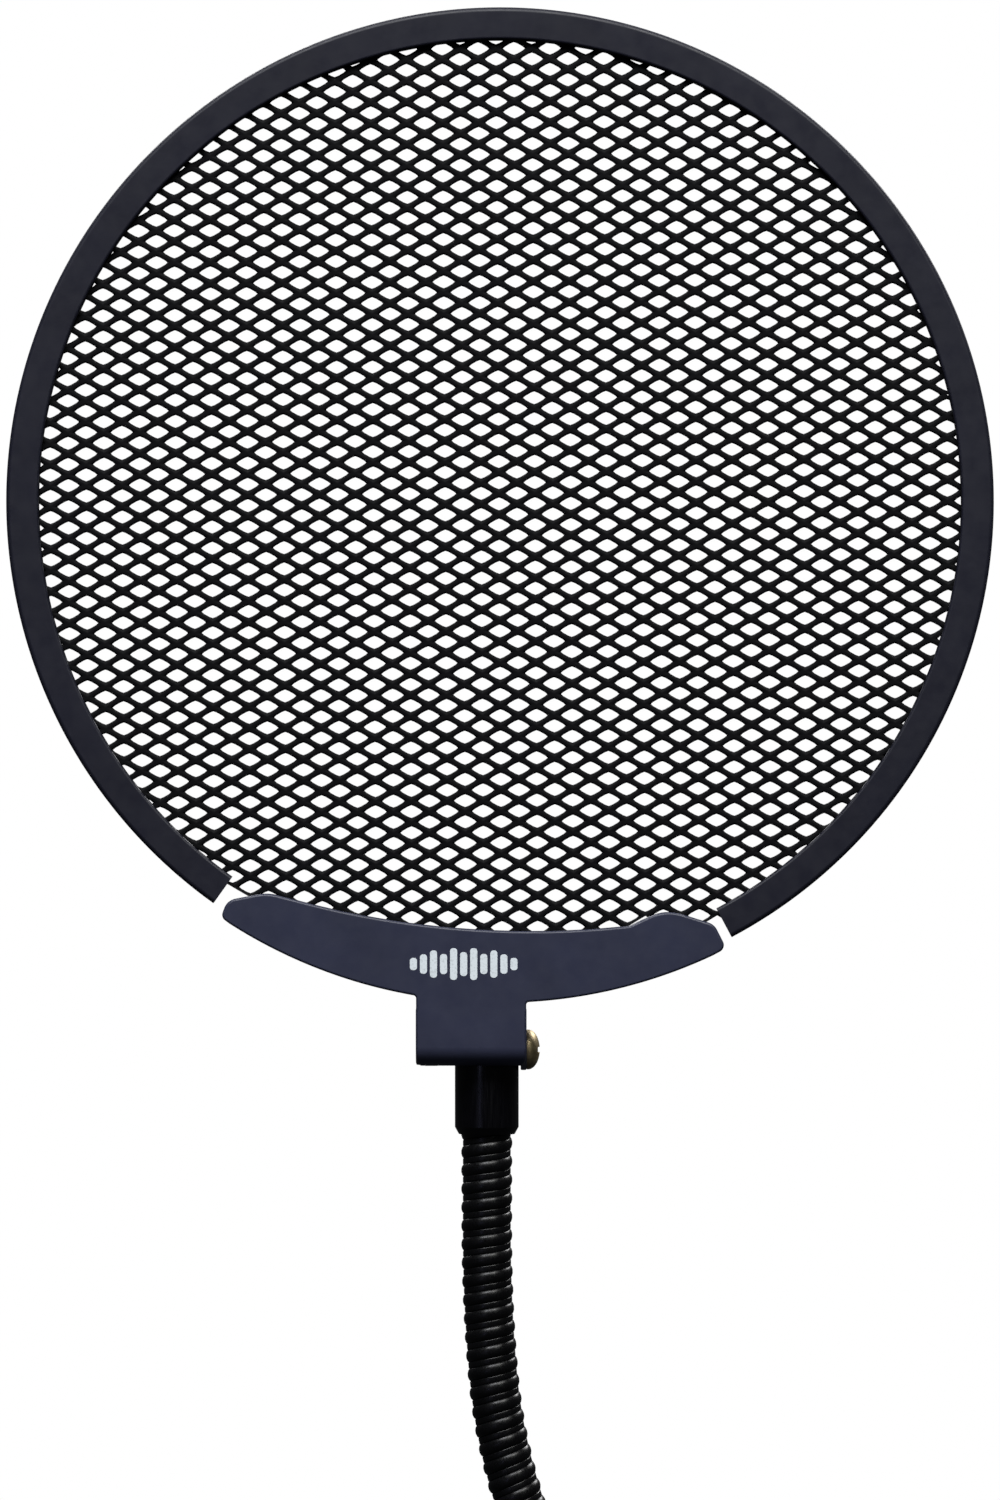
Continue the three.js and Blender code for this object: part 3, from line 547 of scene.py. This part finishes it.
def hole_centres(spin):
    """Staggered rows of holes that keep clear of the screen's edge and of the clip screws."""
    bosses = [below_centre(CLIP_SCREW_RADIUS, angle - HEAD_ROLL) for angle in CLIP_SCREWS.values()]
    rows = math.ceil(2 * SCREEN_RADIUS / MESH_PITCH[1])
    columns = math.ceil(SCREEN_RADIUS / MESH_PITCH[0]) + 1
    centres = []
    for row in range(-rows, rows + 1):
        for column in range(-columns, columns + 1):
            x = (column + 0.5 * (row % 2)) * MESH_PITCH[0]
            centre = spin @ (x, row * MESH_PITCH[1] / 2) + MESH_SHIFT
            clear_of_bosses = all(np.linalg.norm(centre - boss) > MESH_BOSS_GAP for boss in bosses)
            if np.linalg.norm(centre) < SCREEN_RADIUS - MESH_EDGE_GAP and clear_of_bosses:
                centres.append(centre)
    return centres


def screen_shell():
    """Every diamond of the mesh, joined to its neighbours and cut to a circle."""
    cell, cell_faces = loft(mesh_cell(MESH_STEPS), cap=False)
    spin = turning(MESH_TURN)
    points = []
    faces = []
    for i, (x, z) in enumerate(hole_centres(spin)):
        turned_cell = cell.copy()
        turned_cell[:, [0, 2]] = cell[:, [0, 2]] @ spin.T + (x, z)
        points.append(turned_cell)
        faces += [tuple(k + i * len(cell) for k in face) for face in cell_faces]
    points = np.concatenate(points)
    reach = np.hypot(points[:, 0], points[:, 2])
    inside = np.minimum(1, SCREEN_RADIUS / reach)
    points[:, 0] *= inside
    points[:, 2] *= inside
    keys, index = np.unique(np.round(points * JOIN_GRID).astype(int), axis=0, return_inverse=True)
    index = index.ravel()
    return keys / JOIN_GRID, [tuple(index[k] for k in face) for face in faces]


def make_screen():
    shell = screen_shell()
    screen = make_piece("screen", [shell], MESH_ENAMEL, HEAD, weighted=False)
    ride_for(screen, "head", "screen_mesh")


def make_rim():
    outer, inner, half, wall, lip = (RIM[k] for k in ("outer", "inner", "half", "wall", "lip"))
    near, far, near_fold, far_fold = RIM_ROUNDING
    section = rounded([
        (inner, -lip, 0), (inner, -half, near), (outer, -half, far),
        (outer, half, far), (inner, half, near), (inner, lip, 0),
        (inner + wall, lip, 0), (inner + wall, half - wall, near_fold),
        (outer - wall, half - wall, far_fold), (outer - wall, wall - half, far_fold),
        (inner + wall, wall - half, near_fold), (inner + wall, -lip, 0),
    ], steps=5)
    first = RIM["gap"] - HEAD_ROLL
    last = 360 - RIM["gap"] - HEAD_ROLL
    rings = []
    for angle in np.linspace(first, last, 241):
        across = np.array([below_centre(radius, angle) for radius in section[:, 0]])
        rings.append(np.column_stack([across[:, 0], section[:, 1], across[:, 1]]))
    rim = make_piece("rim", [loft(rings)], RIM_ENAMEL, HEAD)
    ride_for(rim, "head", "rim_trim")


# ---------------------------------------------------------------- clip

def crescent_outline(tab=False):
    """The crescent, anti-clockwise from the left end of its lower edge, with or without the tab."""
    spin = turning(-HEAD_ROLL)
    outer = CLIP["outer"]
    centre = (0, CLIP["inner"] - CLIP["edge"])
    inner = arc(centre, CLIP["inner"], -90 + CLIP["turn"], -90 - CLIP["turn"], 40)
    ends = {}
    for side, corners in CLIP_ENDS.items():
        bends = [(*below_centre(radius, angle), rounding) for radius, angle, rounding in corners]
        ends[side] = rounded([*bends, (*inner[0], 0)], 8)[1:]
    left = ends["left"][::-1] * (-1, 1)
    upper = np.concatenate([ends["right"], inner[1:-1], left])
    first = -HEAD_ROLL - CLIP_HALF
    last = -HEAD_ROLL + CLIP_HALF
    if not tab:
        lower = [below_centre(outer, angle) for angle in np.linspace(first, last, 60)]
        return np.concatenate([lower, upper @ spin.T])
    sides = SADDLE["left"] + 0.05, SADDLE["right"] - 0.05
    turns = [math.degrees(math.asin(side / outer)) for side in sides]
    roots = [below_centre(outer, turn) for turn in turns]
    foot = SADDLE["bottom"] + SADDLE["curl"] + 0.5
    left_arc = [below_centre(outer, angle) for angle in np.linspace(first, turns[0] - 0.6, 30)]
    right_arc = [below_centre(outer, angle) for angle in np.linspace(turns[1] + 0.6, last, 36)]
    corners = rounded([
        (*left_arc[-1], 0), (*roots[0], 0.5), (sides[0], foot, 0), (sides[1], foot, 0),
        (*roots[1], 0.5), (*right_arc[0], 0)])
    return np.concatenate([left_arc[:-1], corners, right_arc[1:], upper @ spin.T])


def saddle_shell():
    """The tab's lower part: a wide strip with rounded front corners that curls back at the bottom."""
    curl, front = SADDLE["curl"], -SADDLE_FRONT - 0.003
    face, back = SADDLE_ROUNDING
    centre_y, centre_z = front + curl, SADDLE["bottom"] + curl
    path = [(z, 0.0) for z in np.linspace(SADDLE["top"], centre_z, 5)]
    path += [(centre_z, turn) for turn in np.linspace(0, math.pi / 2, 13)[1:]]
    rings = []
    for z, turn in path:
        draw_in = SADDLE_DRAW_IN * (turn / (math.pi / 2)) ** 2
        left, right = SADDLE["left"] + draw_in, SADDLE["right"] - draw_in
        section = rounded(
            [(left, 0, face), (right, 0, face), (right, SHEET, back), (left, SHEET, back)], closed=True)
        depth = section[:, 1]
        radius = curl - depth
        y = centre_y - radius * math.cos(turn)
        drop = z - radius * math.sin(turn)
        rings.append(np.column_stack([section[:, 0], y, np.broadcast_to(drop, len(section))]))
    return loft(rings)


def ear_shell(left, right, radius):
    start = -CLIP["front"] - 0.2
    lobe = arc(PIVOT[1:], radius, 65, -90, 20)[::-1]
    lower = [(start, SADDLE["bottom"] + 3.2), (SHEET - SADDLE_FRONT, SADDLE["bottom"] + 1.5)]
    lower.append((SADDLE["curl"] - SADDLE_FRONT, SADDLE["bottom"] + 0.35))
    outline = np.concatenate([lower, lobe, [(start, EAR["top"])]])
    return plate(outline, left, right, 0.2, facing_x)


def boss_shell(place):
    bore, radius, front, back = CLIP_BOSS.values()
    profile = [(bore, front, 0), (radius, front, 0), (radius, back, 0.1), (bore, back, 0.1)]
    return moved(turned("y", profile, 32, wrap=True), (place[0], 0, place[1]))


def make_front_plate(screw_places):
    flat = plate(crescent_outline(tab=True), -SADDLE_FRONT + 0.01, -CLIP["front"], CLIP_EDGE, facing_y)
    thickness = EAR["thickness"]
    ears = [
        ear_shell(SADDLE["left"], SADDLE["left"] + thickness, EAR_LOBES["left"]),
        ear_shell(SADDLE["right"] - thickness, SADDLE["right"], EAR_LOBES["right"]),
    ]
    bosses = [boss_shell(place) for place in screw_places.values()]
    shells = [flat, saddle_shell(), *ears, *bosses]
    front = make_piece("clip_front", shells, CLIP_ENAMEL, HEAD)
    ride_for(front, "head", "clip_front_plate")


def make_back_plate():
    shell = plate(crescent_outline(), CLIP["front"], CLIP["back"], CLIP_EDGE, facing_y)
    back = make_piece("clip_back", [shell], CLIP_ENAMEL, HEAD)
    ride_for(back, "head", "clip_back_plate")


def make_clip_screws(screw_places):
    for side, (x, z) in screw_places.items():
        shell = moved(pan_screw("y", **CLIP_SCREW), (x, 0, z))
        screw = make_piece(f"clip_screw_{side}_fine", [shell], ZINC, HEAD)
        ride_for(screw, "head", f"clip_screw_{side}")


def make_mark():
    """A plain row of sound-level bars, in place of any wording."""
    width, spacing, rounding, middle = MARK.values()
    corners = [(-1, -1), (1, -1), (1, 1), (-1, 1)]
    shells = []
    for i, height in enumerate(MARK_HEIGHTS):
        x = middle[0] + (i - (len(MARK_HEIGHTS) - 1) / 2) * spacing
        outline = rounded(
            [(x + u * width / 2, middle[1] + v * height / 2, rounding) for u, v in corners], closed=True)
        shells.append(plate(outline, -SADDLE_FRONT - 0.004, -SADDLE_FRONT + 0.02, 0.003, facing_y, 1))
    mark = make_piece("level_bars_mark", shells, PRINT, HEAD, weighted=False)
    ride_for(mark, "head")


def make_pivot():
    at = HEAD + (0, PIVOT[1], PIVOT[2])
    shell = pan_screw("x", seat=SADDLE["right"], **PIVOT_SCREW)
    screw = make_piece("pivot_screw_fine", [shell], DULL_BRASS, at)
    ride_for(screw, "head", "pivot_screw")
    nut = make_piece("pivot_nut_fine", [hex_nut("x", **PIVOT_NUT)], ZINC, at)
    ride_for(nut, "head", "pivot_nut")
    bore, radius, start, end = PIVOT_WASHER.values()
    flat = [(bore, start, 0.08), (radius, start, 0.12), (radius, end, 0.12), (bore, end, 0.08)]
    washer = make_piece("pivot_washer_fine", [turned("x", flat, 48, True)], ZINC, at)
    ride_for(washer, "head", "pivot_plain_washer")
    spring = make_piece("pivot_spring_fine", [spring_washer()], ZINC, at)
    ride_for(spring, "head", "pivot_spring_washer")


def spring_washer():
    """A split ring whose two ends stand slightly apart."""
    bore, radius, half, middle, rise = PIVOT_SPRING.values()
    edge = 0.08
    section = rounded(
        [(-half, bore, edge), (half, bore, edge), (half, radius, edge), (-half, radius, edge)], 2, True)
    rings = []
    for share in np.linspace(0.02, 0.96, 48):
        angle = share * 2 * math.pi
        outward = np.array((0, math.cos(angle), math.sin(angle)))
        along = section[:, :1] + middle + (share - 0.5) * rise
        rings.append(along * AXES["x"][0] + section[:, 1:] * outward)
    return loft(rings)


# ---------------------------------------------------------------- gooseneck

def neck_at(distance):
    """Place, direction and two side directions of the neck's centreline, which is a run of arcs."""
    x, z, heading, left = NECK_START, 0.0, 0.0, distance
    for length, turn in [(NECK_SOCKET, 0), *NECK_ARCS, (NECK_SOCKET, 0)]:
        run = min(left, length)
        after = heading + math.radians(turn) * run / length
        middle, half = (heading + after) / 2, (after - heading) / 2
        chord = run * math.sin(half) / half if half else run
        x -= chord * math.cos(middle)
        z += chord * math.sin(middle)
        heading = after
        left -= run
        if left <= 0:
            break
    ahead = np.array((-math.cos(heading), 0, math.sin(heading)))
    above = np.array((math.sin(heading), 0, math.cos(heading)))
    return np.array((x, 0, z)), ahead, above, np.array((0, 1.0, 0))


def round_wire():
    """Section of the outer wire: an oval whose crest lies just inside the neck's radius."""
    angles = np.arange(14) * 2 * math.pi / 14
    half_width, half_depth, below = ROUND_WIRE.values()
    centre = NECK_RADIUS - half_depth - below
    return np.column_stack([half_width * np.cos(angles), centre + half_depth * np.sin(angles)])


def wedge_wire():
    """Section of the inner wedge wire that shows in the groove between two turns of the outer one."""
    foot, top, height, below, rounding = WEDGE_WIRE.values()
    crest = NECK_RADIUS - below
    base = crest - height
    return rounded(
        [(-foot, base, 0), (foot, base, 0), (top, crest, rounding), (-top, crest, rounding)], 2, True)


def make_neck():
    flexing = sum(length for length, _ in NECK_ARCS)
    middles = [NECK_SOCKET + flexing * k / NECK_JOINTS for k in range(NECK_JOINTS + 1)]
    for k in range(NECK_JOINTS):
        start = COIL_END if k == 0 else middles[k]
        end = flexing + 2 * NECK_SOCKET - COIL_END if k == NECK_JOINTS - 1 else middles[k + 1]
        shells = [
            wound(neck_at, round_wire(), WIRE_PITCH, start, end, WIRE_PHASE, 36),
            wound(neck_at, wedge_wire(), WIRE_PITCH, start, end, WIRE_PHASE + 0.5, 30),
        ]
        piece = make_piece(f"neck_coil_{k + 1}", shells, NECK_BLACK, weighted=False)
        stretch = middles[k] + NECK_BLEND, middles[k + 1] - NECK_BLEND
        ends = [neck_at(distance)[0] * MM for distance in stretch]
        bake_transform(piece)
        sections = [f"neck_section_{k + 1}"]
        if k == NECK_JOINTS - 1:
            sections.append(f"neck_section_{NECK_JOINTS + 1}")
        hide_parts(*sections)


def make_upper_ferrule():
    top, mouth = HEAD[2] + PIVOT[2], FERRULE_BOX[0][2]
    outer, bore, depth = FERRULE.values()
    dome = [(radius, along, 0) for radius, along in arc((0, top), outer, 90, 0, 12)]
    dome[0] = (0.0, top + outer, 0)
    profile = dome + [
        (outer, mouth + 1.1, 0.3), (4.35, mouth, 0.12), (bore, mouth, 0), (bore, mouth + depth, 0),
        (0, mouth + depth, 0)]
    shell = moved(turned("z", profile, 64), (FERRULE_AXIS[0], FERRULE_AXIS[1], 0))
    ferrule = make_piece("upper_ferrule_fine", [shell], FERRULE_BLACK)
    ride_for(ferrule, "neck_end", "upper_ferrule")


def make_lower_ferrule():
    low, high = box_mm("lower_ferrule")
    mouth, face = low[0], high[0]
    outer, bore, depth = FERRULE.values()
    socket = [
        (0, mouth + depth, 0), (bore, mouth + depth, 0), (bore, mouth, 0), (4.12, mouth, 0.12),
        (outer, mouth + 1.25, 0.3), (outer, face - 4.2, 0), (4.6, face - 4.0, 0), (4.6, face - 1, 0),
        (0, face - 1, 0)]
    across, length, hole = LOWER_HEX.values()
    shells = [turned("x", socket, 64), hex_nut("x", across, face - length, face, hole)]
    ferrule = make_piece("lower_ferrule_fine", shells, SOCKET_BLACK)
    ride_for(ferrule, "clamp", "lower_ferrule")


# ---------------------------------------------------------------- clamp

def bar_stations():
    """Centreline of the clamp's bar as (place, thickness direction, half-width)."""
    half = BAR["thickness"] / 2
    left, right = ARMS["fixed"] - half, ARMS["screw"] + half
    back = ARMS["web"] + half
    bend, corner, end = BAR["bend"], BAR["corner"], ARMS["end"]

    def along_arm(x, sign, rising):
        depths = corner * (1 - np.cos(np.linspace(0, math.pi / 2, 10)))
        ys = [end + d for d in depths] + list(np.linspace(end + corner, back - bend, 6)[1:])
        widths = [BAR["half"] - corner + math.sqrt(max(0, corner ** 2 - (corner - d) ** 2)) for d in depths]
        widths += [BAR["half"]] * 5
        run = [((x, y), (sign, 0), width) for y, width in zip(ys, widths)]
        return run if rising else run[::-1]

    def round_bend(x, turns):
        spokes = [(math.cos(turn), math.sin(turn)) for turn in turns]
        return [((x + bend * u, back - bend + bend * v), (u, v), BAR["half"]) for u, v in spokes]

    return [
        *along_arm(left, -1, True),
        *round_bend(left + bend, np.linspace(math.pi, math.pi / 2, 10)[1:]),
        *round_bend(right - bend, np.linspace(math.pi / 2, 0, 10)[:-1]),
        *along_arm(right, 1, False),
    ]


def make_clamp_frame():
    half, edge = BAR["thickness"] / 2, BAR["edge"]
    rings = []
    for (x, y), spoke, width in bar_stations():
        section = rounded(
            [(-half, -width, edge), (half, -width, edge), (half, width, edge), (-half, width, edge)], 3, True)
        across = section[:, :1] * np.array(spoke)
        rings.append(np.column_stack([x + across[:, 0], y + across[:, 1], section[:, 1]]))
    piece = make_piece("clamp_bar", [loft(rings)], BAR_ENAMEL)
    ride_for(piece, "clamp", "clamp_frame")


def weld_bead(face):
    """An uneven fillet of weld round the nut's foot."""
    count = 144
    nut = hexagon(WELD_NUT["across"], count)
    ripple = 1 + WELD["ripple"] * np.sin(np.arange(count) * 2 * math.pi * WELD["ripples"] / count)
    rings = []
    for angle in np.linspace(0, 2 * math.pi, 12, endpoint=False):
        out = nut - WELD["sink"] + WELD["width"] * ripple * math.cos(angle)
        along = face + WELD["height"] * ripple * math.sin(angle)
        points = around("x", 0, out, count)
        points[:, 0] = along
        rings.append(points)
    return loft(rings, wrap=True)


def make_weld_nut():
    low, high = box_mm("clamp_weld_nut")
    nut = hex_nut("x", WELD_NUT["across"], low[0], high[0], WELD_NUT["bore"])
    shells = [nut, weld_bead(low[0] - WELD["sink"])]
    piece = make_piece("weld_nut_fine", shells, BAR_ENAMEL)
    ride_for(piece, "clamp", "clamp_weld_nut")


def make_jaw_pad():
    """The rubber pad: a shallow V, crossed by grooves."""
    low, high = box_mm("fixed_jaw_pad")
    half, valley, depth, groove_depth, spacing = JAW_PAD.values()
    back, land, apex = low[0], high[0], high[0] - depth
    heights = []
    for groove in np.arange(-3, 4) * spacing:
        heights += [(groove - 0.42, 0), (groove - 0.25, 1), (groove + 0.25, 1), (groove + 0.42, 0)]
    ends = [(-8, 0.5), (-7.86, 0.18), (-7.5, 0)]
    levels = [(z, 0, inset) for z, inset in ends]
    levels += [(z, cut, 0) for z, cut in heights]
    levels += [(-z, 0, inset) for z, inset in ends[::-1]]
    rings = []
    for z, cut, inset in levels:
        face = land - cut * groove_depth - inset
        outline = rounded([
            (back + inset, -half + inset, 0.5), (face, -half + inset, 0.6), (face, -valley, 0.6),
            (apex - cut * groove_depth - inset, 0, 1.5), (face, valley, 0.6), (face, half - inset, 0.6),
            (back + inset, half - inset, 0.5)], closed=True)
        rings.append(np.column_stack([outline, np.full(len(outline), z)]))
    piece = make_piece("jaw_pad_fine", [loft(rings)], RUBBER, weighted=False)
    ride_for(piece, "clamp", "fixed_jaw_pad")


def make_foot():
    low, high = box_mm("pressure_foot")
    front, back = low[0], high[0]
    profile = [
        (0, front, 0), (9, front, 0.5), (9, front + 2.5, 0.6), (6.4, front + 2.7, 0.6),
        (5.6, back, 0.5), (2.6, back, 0.3), (2.2, back - 0.9, 0), (0, back - 0.9, 0)]
    foot = make_piece("pressure_foot_fine", [turned("x", profile, 72)], ZINC)
    ride_for(foot, "foot", "pressure_foot")
    face, seat = (side[0] for side in box_mm("foot_pad"))
    rings = [(0, face + 0.35, 0), (1.6, face + 0.35, 0.1), (1.6, face, 0.25)]
    for radius in (3.4, 5.8):
        rings += [(radius, face, 0.25), (radius, face + 0.35, 0.1)]
        rings += [(radius + 0.6, face + 0.35, 0.1), (radius + 0.6, face, 0.25)]
    rings += [(8.5, face, 0.6), (8.5, seat, 0.2), (0, seat, 0)]
    pad = make_piece("foot_pad_fine", [turned("x", rings, 72)], RUBBER, weighted=False)
    ride_for(pad, "foot", "foot_pad")


def along_x(distance):
    lead, first, second = AXES["x"]
    return lead * distance, lead, first, second


def make_clamp_screw():
    root, crest = THREAD["root"], THREAD["crest"]
    neck = 20.3
    core = [
        (0, 15.9, 0), (2.3, 17.0, 1.2), (2.5, 18.2, 0.8), (1.9, neck - 0.3, 0.4), (1.9, neck + 0.7, 0.1),
        (root - 0.5, neck + 0.7, 0.1), (root, neck + 1.3, 0.1), (root, 79.0, 0.2), (0, 79.0, 0)]
    ridge = [(-0.56, root - 0.1), (0.56, root - 0.1), (0.1, crest), (-0.1, crest)]
    thread = wound(along_x, ridge, THREAD_PITCH, THREAD["start"], THREAD["end"], 0, 40)
    shells = [turned("x", core, 48), thread]
    piece = make_piece("clamp_screw_fine", shells, ZINC, weighted=False)
    ride_for(piece, "screw", "clamp_screw")


def knob_outline(inset, count):
    lobes, depth = KNOB_LOBES
    angles = np.arange(count) * 2 * math.pi / count
    return KNOB["radius"] - depth + depth * np.cos(lobes * angles) - inset


def make_knob():
    count = 192
    body, end, neck, cap = KNOB["body"], KNOB["end"], KNOB["neck"], KNOB["cap"]
    foot = KNOB["collar"]
    collar = rounded([(4.3, foot, 0), (neck, foot, 0.8), (neck, body, 0.5), (neck + 1.2, body, 0)])
    rings = [around("x", along, radius, count) for radius, along in collar]
    turns = np.linspace(0, math.pi / 2, 7)
    for face, inward, run in ((body, KNOB_EDGE, turns), (end, -KNOB_EDGE, turns[::-1])):
        for turn in run:
            outline = knob_outline(KNOB_EDGE * (1 - math.sin(turn)), count)
            rings.append(around("x", face + inward * (1 - math.cos(turn)), outline, count))
    rim = cap + 0.25
    recess = rounded([(cap + 2.0, end, 0), (rim, end, 0.3), (rim, end - 1.7, 0), (0, end - 1.7, 0)])
    rings += [around("x", along, radius, count) for radius, along in recess]
    knob = make_piece("clamp_knob_fine", [loft(rings)], PLASTIC)
    ride_for(knob, "screw", "clamp_knob")
    profile = [
        (0, end - 1.5, 0), (cap, end - 1.5, 0.1), (cap, end - 0.05, 0.5), (4.6, end + 0.55, 0.8),
        (0, end + 0.75, 0)]
    lid = make_piece("knob_cap_fine", [turned("x", profile, 72)], PLASTIC)
    ride_for(lid, "screw", "knob_cap")


def finish_kept_nodes():
    for name in ("neck_fixing_screw", "neck_lock_washer"):
        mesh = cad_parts[name].data
        mesh.materials.clear()
        mesh.materials.append(ZINC)


# ---------------------------------------------------------------- camera, world and lights

CAMERA_DISTANCE = 1200.0
VIEW_HEIGHT = 231.6  # of the picture, at the screen
VIEW_DROP = 38.4  # of the picture's middle below the screen's centre
FLOOR_HEIGHT = -450.0
FLOOR_RADIUS = 4000.0
REFLECTED_GREY = 0.03  # how bright the room looks to the object
LIGHT_DISTANCE = 1.6  # metres
LIGHTS = [  # name, azimuth, elevation, size in metres, power, colour
    ("key", -20, 52, (0.7, 0.6), 20, (0.95, 0.97, 1.0)),
    ("fill", 25, 50, (0.6, 0.6), 16, (1.0, 1.0, 0.97)),
    ("strip_left", -26, 0, (0.12, 0.9), 0.5, (0.6, 0.62, 1.0)),
    ("strip_right", 29, 20, (0.12, 0.5), 0.5, (0.85, 1.0, 0.9)),
    ("rear_left", -150, 40, (0.8, 0.6), 16, (1, 1, 1)),
    ("rear_right", 140, 35, (0.8, 0.6), 16, (1, 1, 1)),
]


def make_camera():
    data = bpy.data.cameras.new("camera")
    data.lens = data.sensor_width * CAMERA_DISTANCE / VIEW_HEIGHT
    data.clip_end = 10
    camera = bpy.data.objects.new("camera", data)
    camera.location = Vector((HEAD + (0, -CAMERA_DISTANCE, -VIEW_DROP)) * MM)
    camera.rotation_euler = (math.pi / 2, 0, 0)
    bpy.context.scene.collection.objects.link(camera)
    bpy.context.scene.camera = camera


def make_world():
    """Plain white behind the object, and dim grey all round for what it reflects."""
    world = bpy.data.worlds.new("studio")
    world.use_nodes = True
    bpy.context.scene.world = world
    tree = world.node_tree
    dim = tree.nodes["Background"]
    dim.inputs["Color"].default_value = (0.9, 0.95, 1.0, 1)
    dim.inputs["Strength"].default_value = REFLECTED_GREY
    white = add_node(tree, "ShaderNodeBackground", Color=(1, 1, 1, 1), Strength=1.0)
    path = tree.nodes.new("ShaderNodeLightPath")
    mix = tree.nodes.new("ShaderNodeMixShader")
    tree.links.new(path.outputs["Is Camera Ray"], mix.inputs["Fac"])
    tree.links.new(dim.outputs["Background"], mix.inputs[1])
    tree.links.new(white.outputs["Background"], mix.inputs[2])
    tree.links.new(mix.outputs["Shader"], tree.nodes["World Output"].inputs["Surface"])


def make_floor():
    """A pale floor, well below the clamp because the part hangs on a stand. It lights nothing."""
    count = 96
    edge = around("z", FLOOR_HEIGHT, FLOOR_RADIUS, count) * MM
    mesh = bpy.data.meshes.new("floor")
    mesh.from_pydata(edge.tolist(), [], [tuple(range(count))])
    material, tree, shader = new_material("floor_white")
    tint = ramp(tree, noise(tree, 60.0), [(0.3, (0.9, 0.9, 0.9)), (0.7, (0.92, 0.92, 0.92))])
    tree.links.new(tint, shader.inputs["Base Color"])
    tree.links.new(tint, shader.inputs["Emission Color"])
    shader.inputs["Emission Strength"].default_value = 1.0
    mesh.materials.append(material)
    floor = bpy.data.objects.new("floor", mesh)
    bpy.context.scene.collection.objects.link(floor)
    floor.visible_diffuse = False
    floor.visible_glossy = False


def make_light(name, azimuth, elevation, size, power, colour):
    """A soft light aimed at the screen's centre; azimuth is in degrees from the front towards +X."""
    data = bpy.data.lights.new(name, "AREA")
    data.shape = "RECTANGLE"
    data.size, data.size_y = size
    data.energy = power
    data.color = colour
    light = bpy.data.objects.new(name, data)
    turn, rise = math.radians(azimuth), math.radians(elevation)
    spoke = Vector((math.sin(turn) * math.cos(rise), -math.cos(turn) * math.cos(rise), math.sin(rise)))
    light.location = Vector(HEAD * MM) + spoke * LIGHT_DISTANCE
    light.rotation_euler = (-spoke).to_track_quat("-Z", "Y").to_euler()
    light.visible_camera = False
    bpy.context.scene.collection.objects.link(light)


# ---------------------------------------------------------------- assembly

def main():
    bpy.context.scene.view_settings.view_transform = "Standard"
    places = {
        side: below_centre(CLIP_SCREW_RADIUS, angle - HEAD_ROLL) for side, angle in CLIP_SCREWS.items()}
    make_camera()
    make_world()
    make_floor()
    for light in LIGHTS:
        make_light(*light)
    make_screen()
    make_rim()
    make_front_plate(places)
    make_back_plate()
    make_clip_screws(places)
    make_mark()
    make_pivot()
    make_neck()
    make_upper_ferrule()
    make_lower_ferrule()
    make_clamp_frame()
    make_weld_nut()
    make_jaw_pad()
    make_foot()
    make_clamp_screw()
    make_knob()
    finish_kept_nodes()


main()
